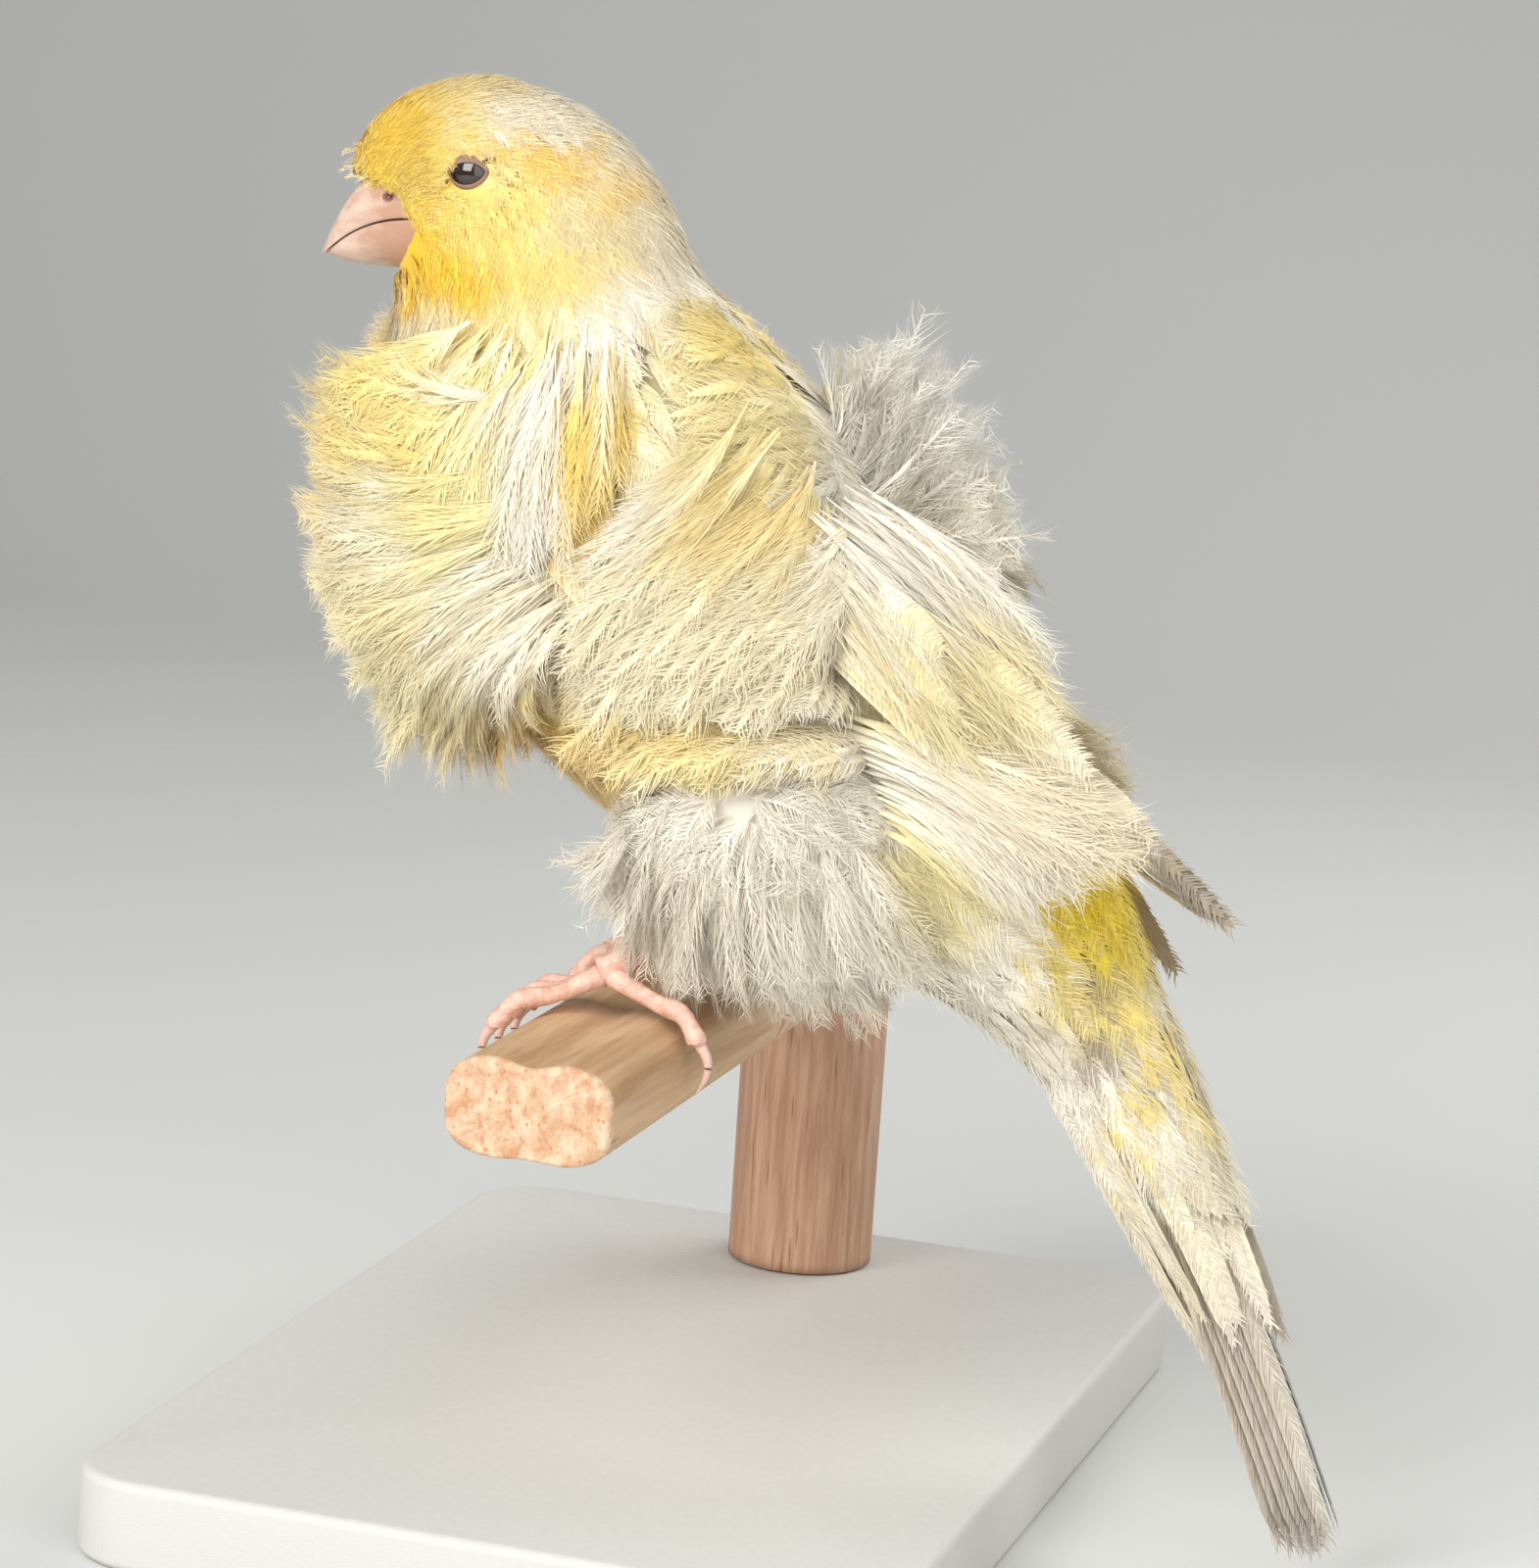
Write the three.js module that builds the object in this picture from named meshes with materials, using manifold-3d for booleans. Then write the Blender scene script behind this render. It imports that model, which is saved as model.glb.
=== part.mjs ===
// Life-size frilled canary standing on a cut length of turned perch, which a plain stand holds up.
// Millimetres, +Z up. The bird looks along -X, its left side faces -Y, and the perch runs along Y.
// Places on the bird are given in its own frame: x along the body, y from its middle plane, and
// z from the top of the perch. A feather's place [x, y, z] is given for one side and mirrored.
import * as THREE from 'three';
import { mergeVertices } from 'three/addons/utils/BufferGeometryUtils.js';
import Module from 'manifold-3d';

const wasm = await Module();
wasm.setup();

// Driving dimensions
const GAP = 0.3;
const PERCH = {
  width: 17, height: 10.2, squareness: 0.62, groove: 0.9, grooveWidth: 2.6, underGroove: 0.4,
  nearEnd: -38.6, farEnd: 72,
};
const POST = { radius: 8.2, y: 59.85, seat: 2 };
const BASE = { width: 84, length: 124, thick: 9, middleY: 12, corner: 8, edge: 1 };
const PERCH_TOP = 53;
const EYE = { x: -22.2, y: 6.6, z: 80.8, radius: 2.5 };
const LIDS = { length: 2.1, height: 1.5, rise: 0.2, lift: 0.05, radius: 0.5, steps: 12, sides: 4 };
const BILL = {
  gape: [-28.2, 75.5], tip: [-40.7, 70.6], halfWidth: 4.6, height: 6.4, keel: 70.4, lowerReach: 0.95,
  mouthBend: 2.2, culmenBend: 3.2, sideBend: 1.8, keelBend: 12, taper: 0.8, blunt: 0.15, steps: 8,
};
const NOSTRIL = { place: [-32.4, 3.7, 77.45], radii: [0.75, 0.9, 0.45] };
const FACE_EDGE = [
  [-45, 78.6], [-36.4, 78.6], [-33.6, 78.0], [-31.6, 77.7], [-30.2, 76.8], [-28.6, 75.9], [-28.0, 74.3],
  [-29.6, 71.6], [-31.8, 70.1], [-45, 69.6],
];
const SHIN_RADII = [1.35, 1.2, 1.1, 1.6];
const TOE_RADII = [1.1, 0.95, 0.95, 1.0];
const CLAW_RADII = [0.75, 0.6, 0.4, 0.12];
const LIMB_BLUNT = 0.3;
const WING_ARM = {
  line: [[13, 46], [19, 43], [25, 39], [31, 34]], half: 7.5, swell: [0.15, 0.75], lift: 1.8, thick: 1.2,
  steps: 6,
};
const THIGH = { centre: [13, 12.5, 19], radii: [12.5, 7.5, 10] };
const FEATHER_SINK = 2.2;
const LOCK = {
  stops: [0, 0.36, 0.76], taper: [0.45, 1, 0.6], bends: [0.33, 0.7], least: 2.5, overlap: 1.8,
  thick: 1.1, thin: 0.7, step: 1.4, stackStep: 1, rise: 3, sway: 0.2, roll: 0.1,
  sideGrow: 5, tipGrow: 5, clear: 0.5,
};
const SNAP = 0.002;
const LEFT = -1;
const RIGHT = 1;

const COLOURS = {
  gold: 0xe9bd35, cream: 0xe6d7a4, white: 0xe6ddcb, grey: 0xcdbfa6,
  flesh: 0xdcaa98, horn: 0xd9b7a8, claw: 0xcda79b, eye: 0x1c110b,
  perch: 0xb98f6b, post: 0xb98367, base: 0xd8d6cf,
};

// The smooth body under the frills: breast or belly point [x, z], back point [x, z], half width.
const STATIONS = [
  [[-34.6, 71.9], [-37.3, 78.2], 1.8],
  [[-33.0, 70.5], [-37.2, 81.2], 2.8],
  [[-32.1, 69.5], [-35.2, 84.9], 3.8],
  [[-31.6, 68.6], [-30.8, 88.0], 5.2],
  [[-31.4, 67.6], [-23.8, 89.7], 8.0],
  [[-31.5, 66.4], [-15.8, 88.1], 9.4],
  [[-31.9, 64.7], [-9.4, 84.4], 10.3],
  [[-32.3, 62.0], [-4.6, 78.6], 11.3],
  [[-32.3, 57.8], [-1.0, 71.8], 13.0],
  [[-31.1, 51.4], [6.0, 65.6], 15.4],
  [[-28.0, 43.5], [14.0, 59.0], 17.4],
  [[-23.5, 34.5], [22.0, 50.0], 18.4],
  [[-16.5, 26.5], [29.5, 40.5], 17.6],
  [[-7.0, 19.5], [36.0, 31.0], 15.8],
  [[4.0, 13.5], [41.5, 23.0], 13.4],
  [[15.5, 8.5], [45.8, 16.5], 10.8],
  [[26.5, 4.5], [48.8, 11.0], 8.4],
  [[34.5, 1.2], [51.0, 6.2], 7.0],
  [[40.2, -3.0], [53.4, 1.6], 6.4],
  [[44.9, -7.6], [55.9, -3.4], 6.2],
  [[49.9, -12.6], [58.8, -9.2], 5.8],
];
const LAST = STATIONS.length - 1;
const HEAD_END = 6.8;
const NECK_END = 8.7;
const TORSO_END = 16.4;
const STATION_GAP = 0.12;
const HEAD_STEP = 0.5;
const TORSO_STEP = 1;
const LEAST_STEP = 0.2;
const BODY_SIDES = 20;
const REACH = 60;

const FRONT_LINE = new THREE.CatmullRomCurve3(
  STATIONS.map(([f]) => new THREE.Vector3(f[0], 0, f[1])), false, 'catmullrom');
const BACK_LINE = new THREE.CatmullRomCurve3(
  STATIONS.map(([, b]) => new THREE.Vector3(b[0], 0, b[1])), false, 'catmullrom');
const WIDTH_LINE = new THREE.CatmullRomCurve3(
  STATIONS.map(([, , w], i) => new THREE.Vector3(i, w, 0)), false, 'catmullrom');

function section(s) {
  const t = THREE.MathUtils.clamp(s / LAST, 0, 1);
  return { front: FRONT_LINE.getPoint(t), back: BACK_LINE.getPoint(t), half: WIDTH_LINE.getPoint(t).y };
}

// A point of the smooth body: s counts stations, turn runs from 0 at the belly to 180 at the back.
function surface(s, turn, side) {
  const { front, back, half } = section(s);
  const angle = THREE.MathUtils.degToRad(turn);
  const point = front.lerp(back, (1 - Math.cos(angle)) / 2);
  point.y = side * half * Math.sin(angle);
  return point;
}

function bodyPoint(s, turn, side, lift) {
  const stepS = 0.05;
  const alongBody = surface(s + stepS, turn, side).sub(surface(s - stepS, turn, side));
  const aroundBody = surface(s, turn + 1, side).sub(surface(s, turn - 1, side));
  const normal = aroundBody.cross(alongBody).normalize();
  return surface(s, turn, side).addScaledVector(normal, side * lift);
}

// The station whose line passes through (x, z) in the side view.
function stationAt(x, z) {
  let low = 0;
  let high = LAST;
  for (let i = 0; i < 16; i += 1) {
    const middle = (low + high) / 2;
    const { front, back } = section(middle);
    const cross = (back.x - front.x) * (z - front.z) - (back.z - front.z) * (x - front.x);
    if (cross > 0) high = middle;
    else low = middle;
  }
  return (low + high) / 2;
}

// The point of the body's side that is seen at (x, z) from the side.
function onBody(x, z, side) {
  const s = stationAt(x, z);
  const { front, back } = section(s);
  const line = back.clone().sub(front);
  const share = ((x - front.x) * line.x + (z - front.z) * line.z) / line.lengthSq();
  const turn = THREE.MathUtils.radToDeg(Math.acos(THREE.MathUtils.clamp(1 - 2 * share, -1, 1)));
  return surface(s, turn, side);
}

// The direction away from the body's middle line.
function outward(point) {
  const { front, back } = section(stationAt(point.x, point.z));
  return point.clone().sub(front.lerp(back, 0.5)).normalize();
}

function toSolid(geometry) {
  const plain = geometry.clone();
  plain.deleteAttribute('normal');
  plain.deleteAttribute('uv');
  const merged = mergeVertices(plain, 1e-4);
  return new wasm.Manifold(new wasm.Mesh({
    numProp: 3,
    vertProperties: new Float32Array(merged.attributes.position.array),
    triVerts: new Uint32Array(merged.index.array),
  }));
}

// A skin over rings of equal count, closed at each end by a fan to the ring's middle or to a tip.
// The two halves of a ring are split into triangles alike, so a thin vane's faces don't cross.
function loft(rings, startTip, endTip) {
  const count = rings[0].length;
  const middleOf = (ring) => ring.reduce((sum, p) => sum.add(p), new THREE.Vector3()).divideScalar(count);
  const points = rings.flat();
  const first = points.length;
  points.push(startTip ?? middleOf(rings[0]), endTip ?? middleOf(rings[rings.length - 1]));
  const index = [];
  for (let k = 0; k < count; k += 1) {
    const next = (k + 1) % count;
    for (let r = 0; r + 1 < rings.length; r += 1) {
      const [a, b, c, d] = [r * count + k, r * count + next, (r + 1) * count + k, (r + 1) * count + next];
      if (k < count / 2) index.push(a, b, c, b, d, c);
      else index.push(a, b, d, a, d, c);
    }
    const end = (rings.length - 1) * count;
    index.push(next, k, first, end + k, end + next, first + 1);
  }
  const geometry = new THREE.BufferGeometry().setFromPoints(points);
  geometry.setIndex(index);
  const solid = toSolid(geometry);
  if (solid.volume() > 0) return solid;
  geometry.setIndex(index.reverse());
  return toSolid(geometry);
}

// A length of the smooth body between two stations, grown outward by lift, with its rings closer
// on the head than on the torso.
function bodyLoft(from, to, lift) {
  const stops = [from];
  for (let s = 0; s < to - LEAST_STEP; s += s < NECK_END ? HEAD_STEP : TORSO_STEP) {
    if (s > from + LEAST_STEP) stops.push(s);
  }
  stops.push(to);
  return loft(stops.map((s) => {
    const ring = [];
    for (let k = 0; k < BODY_SIDES; k += 1) {
      const angle = (360 * k) / BODY_SIDES;
      if (angle <= 180) ring.push(bodyPoint(s, angle, LEFT, lift));
      else ring.push(bodyPoint(s, 360 - angle, RIGHT, lift));
    }
    return ring;
  }));
}

// A block whose outline is drawn in the side view and which spans from y0 to y1.
function prism(outline, y0 = -REACH, y1 = REACH) {
  const shape = new THREE.Shape(outline.map(([x, z]) => new THREE.Vector2(x, z)));
  const geometry = new THREE.ExtrudeGeometry(shape, { depth: y1 - y0, bevelEnabled: false });
  geometry.rotateX(Math.PI / 2);
  geometry.translate(0, y1, 0);
  return toSolid(geometry);
}

const join = (solids) => wasm.Manifold.union(solids);
const mirrored = (p, side) => new THREE.Vector3(p[0], p[1] * side, p[2]);
const line3 = (points) => new THREE.CatmullRomCurve3(points, false, 'catmullrom');

// A tube of changing radius along a bent line, for legs, toes and claws.
function limb(points, radii, grow = 0, sides = 8, steps = 8) {
  const path = line3(points);
  const girth = line3(radii.map((r, i) => new THREE.Vector3(i, r, 0)));
  const frames = path.computeFrenetFrames(steps, false);
  const rings = [];
  for (let i = 0; i <= steps; i += 1) {
    const centre = path.getPoint(i / steps);
    const radius = girth.getPoint(i / steps).y + grow;
    const ring = [];
    for (let k = 0; k < sides; k += 1) {
      const angle = (2 * Math.PI * k) / sides;
      ring.push(centre.clone()
        .addScaledVector(frames.normals[i], radius * Math.cos(angle))
        .addScaledVector(frames.binormals[i], radius * Math.sin(angle)));
    }
    rings.push(ring);
  }
  const tangents = [path.getTangent(0), path.getTangent(1)];
  return loft(rings,
    path.getPoint(0).addScaledVector(tangents[0], -grow - radii[0] * LIMB_BLUNT),
    path.getPoint(1).addScaledVector(tangents[1], grow + radii[radii.length - 1] * LIMB_BLUNT));
}

// Fans of feathers. Roots are places on the body's side [x, z] or in space [x, y, z], tips are
// places in space, and bulge is how far a feather arches outward near its root and near its tip.
const FANS = {
  breast: [
    { roots: [[-24, 58], [-26, 50], [-24, 42], [-20, 35], [-15, 32]],
      tips: [[-37.5, 2.5, 61], [-38.5, 2.5, 50], [-37.5, 2.5, 39], [-31, 3, 27], [-20, 3, 19]],
      count: 3, bulge: [1, 1], sides: [LEFT, RIGHT] },
    { roots: [[-19, 59.5], [-20, 51], [-19, 44], [-16, 38.5], [-12, 35.5], [-8, 35]],
      tips: [[-38.3, 8, 62], [-39, 8, 52], [-39, 8, 41.5], [-34, 8, 30.5], [-27.5, 8.5, 21],
        [-17.4, 10, 18.2], [-8.5, 14, 25.5]],
      count: 7, bulge: [3, 3], sides: [LEFT, RIGHT] },
    { roots: [[-12, 60.5], [-13, 54], [-13, 47.5], [-10.5, 42.5], [-6, 40]],
      tips: [[-31, 12.5, 62.5], [-33, 13, 54], [-33, 13, 44], [-28, 14, 34], [-20, 16, 27], [-9, 18.5, 29]],
      count: 5, bulge: [6, 5], sides: [LEFT, RIGHT] },
    { roots: [[-6, 60], [-7, 55], [-7, 50], [-6, 46]],
      tips: [[-19, 17.5, 58.5], [-23, 18, 52], [-22, 19, 44], [-16, 20.5, 38]],
      count: 3, bulge: [6, 6], sides: [LEFT, RIGHT] },
  ],
  neck: [
    { roots: [[-15, 63.5], [-9, 65.5], [-3, 68.5]],
      tips: [[-13, 18.5, 49], [-5, 20.5, 46], [3, 20, 50]],
      count: 4, bulge: [5, 5], sides: [LEFT, RIGHT] },
  ],
  mantle: [
    { roots: [[12, 11, 60], [15, 11, 57], [18, 10.5, 53], [22, 9.5, 48]],
      tips: [[-2.5, 22, 39], [5, 24, 37], [14, 24, 37], [23, 21.5, 38]],
      count: 4, bulge: [5, 4], sides: [LEFT, RIGHT] },
    { roots: [[0, 4, 70], [7, 6, 65], [12, 7, 60.5], [16, 8, 55.5], [20, 8, 50]],
      tips: [[-1, 13.5, 69], [1.5, 16.5, 63], [3.5, 18.5, 57], [6, 20.5, 49.5], [13, 21.5, 44]],
      count: 4, bulge: [2.5, 3], sides: [LEFT, RIGHT] },
    { roots: [[3, 0.5, 67.5], [9, 0.5, 63], [14, 0.5, 58.5], [18, 0.5, 54]],
      tips: [[2, 9.5, 70], [6, 12.5, 65.5], [9, 15, 60], [14, 16.5, 52]],
      count: 3, bulge: [5, 6], sides: [LEFT, RIGHT] },
    { roots: [[14, 3, 57], [19, 4, 52], [24, 4, 46]],
      tips: [[15, 5, 68], [21, 8, 67.5], [26.5, 9, 62], [29.5, 8, 55], [32.5, 7, 49], [34, 4, 43]],
      count: 4, bulge: [1.5, 1], sides: [RIGHT] },
    { roots: [[16, 2, 55.5], [21, 3, 50], [25, 3, 44.5]],
      tips: [[16.5, 1, 66.5], [23, 2, 65], [27.5, 2, 58.5], [31.5, 1, 51], [33.5, 1, 44.5]],
      count: 3, bulge: [1, 0.5], sides: [LEFT] },
  ],
  flank: [
    { roots: [[-3, 42], [3, 43], [9, 41], [15, 36]],
      tips: [[-7, 16.5, 27], [2, 21.5, 29.5], [12, 23, 31.5], [21.5, 22, 33.5]],
      count: 5, bulge: [3, 3.5], sides: [LEFT, RIGHT] },
    { roots: [[-2, 51], [4, 50], [9, 46.5]],
      tips: [[-6, 21, 37], [4, 24, 37.5], [14, 24.5, 39]],
      count: 3, bulge: [5, 5.5], sides: [LEFT, RIGHT] },
    { roots: [[24, 28], [27, 24], [28, 20]],
      tips: [[55, 13, 24], [53.5, 15, 20.5], [45, 15, 16]],
      count: 3, bulge: [4, 3], sides: [LEFT, RIGHT] },
  ],
  thigh: [
    { roots: [[4, 18, 24], [10, 20.5, 26], [18, 20.5, 26], [25, 17, 25]],
      tips: [[-1.5, 14, 11], [5, 17, 7], [14, 18, 6], [24, 17, 7.5], [34, 13, 12]],
      count: 4, bulge: [3, 4], sides: [LEFT, RIGHT] },
    { roots: [[5, 17, 16], [10, 19, 14], [18, 19, 14], [24, 16, 15]],
      tips: [[1, 12, 4.5], [8, 13, 1.5], [16, 13, 0.8], [24, 11, 1.5], [32, 9, 5]],
      count: 4, bulge: [1, 1.5], sides: [LEFT, RIGHT] },
  ],
  belly: [
    { roots: [[5, 15.5], [12, 12], [20, 9]],
      tips: [[1, 5, 6], [9.5, 5, 1.4], [17, 4, 0.8], [26, 3, 0.5]],
      count: 3, bulge: [2, 1.5], sides: [LEFT, RIGHT] },
    { roots: [[1, 17.5], [4, 15.5]],
      tips: [[-8.1, 5, 12.5], [-6, 8, 9], [-2.5, 7, 6.5]],
      count: 2, bulge: [1, 1], sides: [LEFT, RIGHT] },
  ],
  wing: [
    { roots: [[27, 11.2, 36], [28, 10.8, 38]],
      tips: [[61.7, 7.5, 13.8], [58.5, 8, 16.4], [54, 8.4, 20], [50, 8.4, 24]],
      count: 3, stack: 6.4, bulge: [0.5, 0.5], face: [0.3, 0.9, 0.35], droop: [-8.5, 0, -9],
      sides: [LEFT, RIGHT] },
    { roots: [[20, 16.2, 39], [24, 13.6, 44]],
      tips: [[48.5, 13, 24.5], [46, 12.6, 29.5], [40, 11.6, 35]],
      count: 3, stack: 9, bulge: [1.5, 2], face: [0.3, 0.9, 0.35], sides: [LEFT, RIGHT] },
    { roots: [[18, 16.8, 41], [21, 15, 46]],
      tips: [[34, 17.4, 28], [34, 16.4, 34], [31, 14.4, 40]],
      count: 2, stack: 9, bulge: [2, 2.5], face: [0.3, 0.9, 0.35], sides: [LEFT, RIGHT] },
  ],
  tail: [
    { roots: [[49.5, 3.4, -3], [51.5, 0.8, -1]],
      tips: [[69.8, 6.4, -47.6], [72.3, 4.2, -49.2], [73.4, 1.6, -48.6]],
      count: 4, stack: 6.6, bulge: [0.5, 1], face: [0.88, 0.35, 0.42], sides: [LEFT, RIGHT] },
    { roots: [[52, 1.5, 2], [53, 4, 0.5]],
      tips: [[64.5, 2, -19], [62.5, 5.5, -18]],
      count: 2, stack: 6.5, bulge: [2.5, 3], face: [0.88, 0.35, 0.42], sides: [LEFT, RIGHT] },
    { roots: [[43.5, 1.5, -6.5], [45.5, 4, -6.5]],
      tips: [[57.5, 1.8, -23], [59, 4.8, -21.5]],
      count: 2, stack: 6, bulge: [0.3, 0.3], face: [-0.88, 0.3, -0.42], sides: [LEFT, RIGHT] },
  ],
};

function facing(fan, side, point) {
  return fan.face ? mirrored(fan.face, side).normalize() : outward(point);
}

// The bent line of one feather at a share v of the way across its fan.
function featherPath(fan, side, v) {
  const onSide = fan.roots[0].length === 2;
  let root = line3(fan.roots.map((p) => (onSide ? new THREE.Vector3(p[0], 0, p[1]) : mirrored(p, side))))
    .getPoint(v);
  if (onSide) root = onBody(root.x, root.z, side);
  const tip = line3(fan.tips.map((p) => mirrored(p, side))).getPoint(v);
  if (side === RIGHT && fan.droop) tip.add(new THREE.Vector3(...fan.droop));
  const out = facing(fan, side, root).add(facing(fan, side, tip)).normalize();
  return new THREE.CubicBezierCurve3(
    root.clone().addScaledVector(facing(fan, side, root), -FEATHER_SINK),
    root.clone().lerp(tip, LOCK.bends[0]).addScaledVector(out, fan.bulge[0]),
    root.clone().lerp(tip, LOCK.bends[1]).addScaledVector(out, fan.bulge[1]),
    tip,
  );
}

// A repeatable small number between -0.5 and 0.5 for the n-th feather of a fan.
const WOBBLE = { turn: 12.9898, spread: 43758.5453 };
function wobble(n) {
  const value = Math.sin(n * WOBBLE.turn) * WOBBLE.spread;
  return value - Math.floor(value) - 0.5;
}

// One feather lock: flat below and ridged above, as wide as its fan is spread there, with a pointed
// tip. Every second one rides a step higher, so that neighbours overlap and meet only at their
// roots. The vanes of a stacked fan keep their width and each rides a step above the last.
function lock(fan, side, i, seed, grow) {
  const v = (i + 0.5 + LOCK.sway * wobble(seed)) / fan.count;
  const path = featherPath(fan, side, v);
  const before = featherPath(fan, side, Math.max(v - 0.5 / fan.count, 0));
  const after = featherPath(fan, side, Math.min(v + 0.5 / fan.count, 1));
  const level = fan.stack ? i * LOCK.stackStep : (i % 2) * LOCK.step;
  const roll = fan.stack ? 0 : LOCK.roll * wobble(seed + 0.9);
  const rings = LOCK.stops.map((u, n) => {
    const tangent = path.getTangent(u);
    const face = facing(fan, side, path.getPoint(u));
    face.addScaledVector(tangent, -face.dot(tangent)).normalize().applyAxisAngle(tangent, roll);
    const across = tangent.clone().cross(face);
    const centre = path.getPoint(u).addScaledVector(face, level * Math.min(LOCK.rise * u, 1) - grow);
    if (n === 0) centre.addScaledVector(tangent, -grow);
    const spread = LOCK.overlap * before.getPoint(u).distanceTo(after.getPoint(u));
    const girth = fan.stack ?? Math.max(spread, LOCK.least);
    const width = (girth / 2) * LOCK.taper[n] + LOCK.sideGrow * grow;
    const thick = THREE.MathUtils.lerp(LOCK.thick, LOCK.thin, u) + 2 * grow;
    return [
      centre.clone().addScaledVector(across, -width), centre.clone().addScaledVector(face, thick),
      centre.clone().addScaledVector(across, width)];
  });
  const last = rings[rings.length - 1];
  const edge = last[0].clone().add(last[2]).multiplyScalar(0.5);
  const apex = path.getPoint(1).addScaledVector(path.getTangent(1), LOCK.tipGrow * grow);
  return loft(rings, undefined, apex.add(edge).sub(path.getPoint(LOCK.stops[2])));
}

function plumage(name, side, grow) {
  const solids = [];
  FANS[name].forEach((fan, f) => {
    for (const s of side ? [side] : fan.sides) {
      for (let i = 0; i < fan.count; i += 1) {
        const seed = 100 * f + i + (s === RIGHT ? 40 : 0);
        solids.push(lock(fan, s, i, seed, grow));
      }
    }
  });
  return join(solids);
}

// Vertices are set on a fine grid. An edge that is too short to keep closes up, and where two
// surfaces only touch, the second is set back into its own solid, so that no edge has four faces.
function snapped(solid) {
  const { vertProperties, triVerts } = solid.getMesh();
  const count = vertProperties.length / 3;
  const vertices = [];
  for (let i = 0; i < count; i += 1) vertices.push(new THREE.Vector3().fromArray(vertProperties, 3 * i));
  const normals = vertices.map(() => new THREE.Vector3());
  const neighbours = vertices.map(() => new Set());
  for (let i = 0; i < triVerts.length; i += 3) {
    const face = [triVerts[i], triVerts[i + 1], triVerts[i + 2]];
    const [a, b, c] = face.map((v) => vertices[v]);
    const normal = b.clone().sub(a).cross(c.clone().sub(a));
    for (const v of face) {
      normals[v].add(normal);
      for (const other of face) neighbours[v].add(other);
    }
  }
  const owners = new Map();
  const points = [];
  const renumbered = vertices.map((vertex, v) => {
    for (let back = 0; ; back += 1) {
      const inside = vertex.clone().addScaledVector(normals[v].clone().normalize(), -3 * SNAP * back);
      const place = inside.toArray().map((value) => Math.round(value / SNAP));
      const key = place.join();
      const owner = owners.get(key);
      if (owner && back < 4 && !owner.members.some((member) => neighbours[v].has(member))) continue;
      if (owner) {
        owner.members.push(v);
        return owner.number;
      }
      owners.set(key, { number: points.length / 3, members: [v] });
      points.push(...place.map((value) => value * SNAP));
      return points.length / 3 - 1;
    }
  });
  const faces = new Map();
  for (let i = 0; i < triVerts.length; i += 3) {
    const face = [0, 1, 2].map((k) => renumbered[triVerts[i + k]]);
    if (new Set(face).size < 3) continue;
    const key = face.slice().sort((a, b) => a - b).join();
    if (faces.has(key)) faces.delete(key);
    else faces.set(key, face);
  }
  return new wasm.Manifold(new wasm.Mesh({
    numProp: 3,
    vertProperties: new Float32Array(points),
    triVerts: new Uint32Array([...faces.values()].flat()),
  }));
}

const group = new THREE.Group();
function toMesh(name, solid, colour, roughness = 0.85) {
  const largest = snapped(solid).decompose().sort((a, b) => b.volume() - a.volume())[0];
  const mesh = largest.getMesh();
  const geometry = new THREE.BufferGeometry();
  geometry.setAttribute('position', new THREE.BufferAttribute(new Float32Array(mesh.vertProperties), 3));
  geometry.setIndex(new THREE.BufferAttribute(new Uint32Array(mesh.triVerts), 1));
  geometry.computeVertexNormals();
  const material = new THREE.MeshStandardMaterial({ color: colour, roughness, metalness: 0 });
  const result = new THREE.Mesh(geometry, material);
  result.name = name;
  group.add(result);
  return largest;
}

// Perch and stand
function perchSolid(grow) {
  const outline = [];
  const corners = 32;
  for (let i = 0; i < corners; i += 1) {
    const angle = (2 * Math.PI * i) / corners;
    const round = (value) => Math.sign(value) * Math.abs(value) ** PERCH.squareness;
    const x = (PERCH.width / 2 + grow) * round(Math.cos(angle));
    const z = (PERCH.height / 2 + grow) * round(Math.sin(angle));
    const dip = PERCH.groove * Math.exp(-((x / PERCH.grooveWidth) ** 2)) * (z > 0 ? 1 : -PERCH.underGroove);
    outline.push([x, z - dip - PERCH.height / 2]);
  }
  return prism(outline, PERCH.nearEnd - grow, PERCH.farEnd + grow);
}
const perch = perchSolid(0);
const perchGrown = perchSolid(GAP);
toMesh('perch', perch, COLOURS.perch, 0.7);

const baseTop = BASE.thick - PERCH_TOP;
const postBottom = baseTop + GAP;
const postGeometry = new THREE.CylinderGeometry(POST.radius, POST.radius, -postBottom, 32);
postGeometry.rotateX(Math.PI / 2);
postGeometry.translate(0, POST.y, postBottom / 2);
const seat = POST.seat - PERCH.height;
const aboveSeat = prism(
  [[-PERCH.width, seat], [PERCH.width, seat], [PERCH.width, 1], [-PERCH.width, 1]],
  POST.y - PERCH.width, POST.y + PERCH.width);
toMesh('stand_post', toSolid(postGeometry).subtract(aboveSeat).subtract(perchGrown), COLOURS.post, 0.6);

function roundedRectangle(width, length, corner) {
  const shape = new THREE.Shape();
  const [x, y] = [width / 2 - corner, length / 2 - corner];
  shape.absarc(x, y, corner, 0, Math.PI / 2);
  shape.absarc(-x, y, corner, Math.PI / 2, Math.PI);
  shape.absarc(-x, -y, corner, Math.PI, 1.5 * Math.PI);
  shape.absarc(x, -y, corner, 1.5 * Math.PI, 2 * Math.PI);
  return shape;
}
const plate = new THREE.ExtrudeGeometry(
  roundedRectangle(BASE.width - 2 * BASE.edge, BASE.length - 2 * BASE.edge, BASE.corner),
  { depth: BASE.thick - 2 * BASE.edge, bevelEnabled: true, bevelThickness: BASE.edge,
    bevelSize: BASE.edge, bevelSegments: 1, curveSegments: 3 });
plate.translate(0, BASE.middleY, -PERCH_TOP + BASE.edge);
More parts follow.
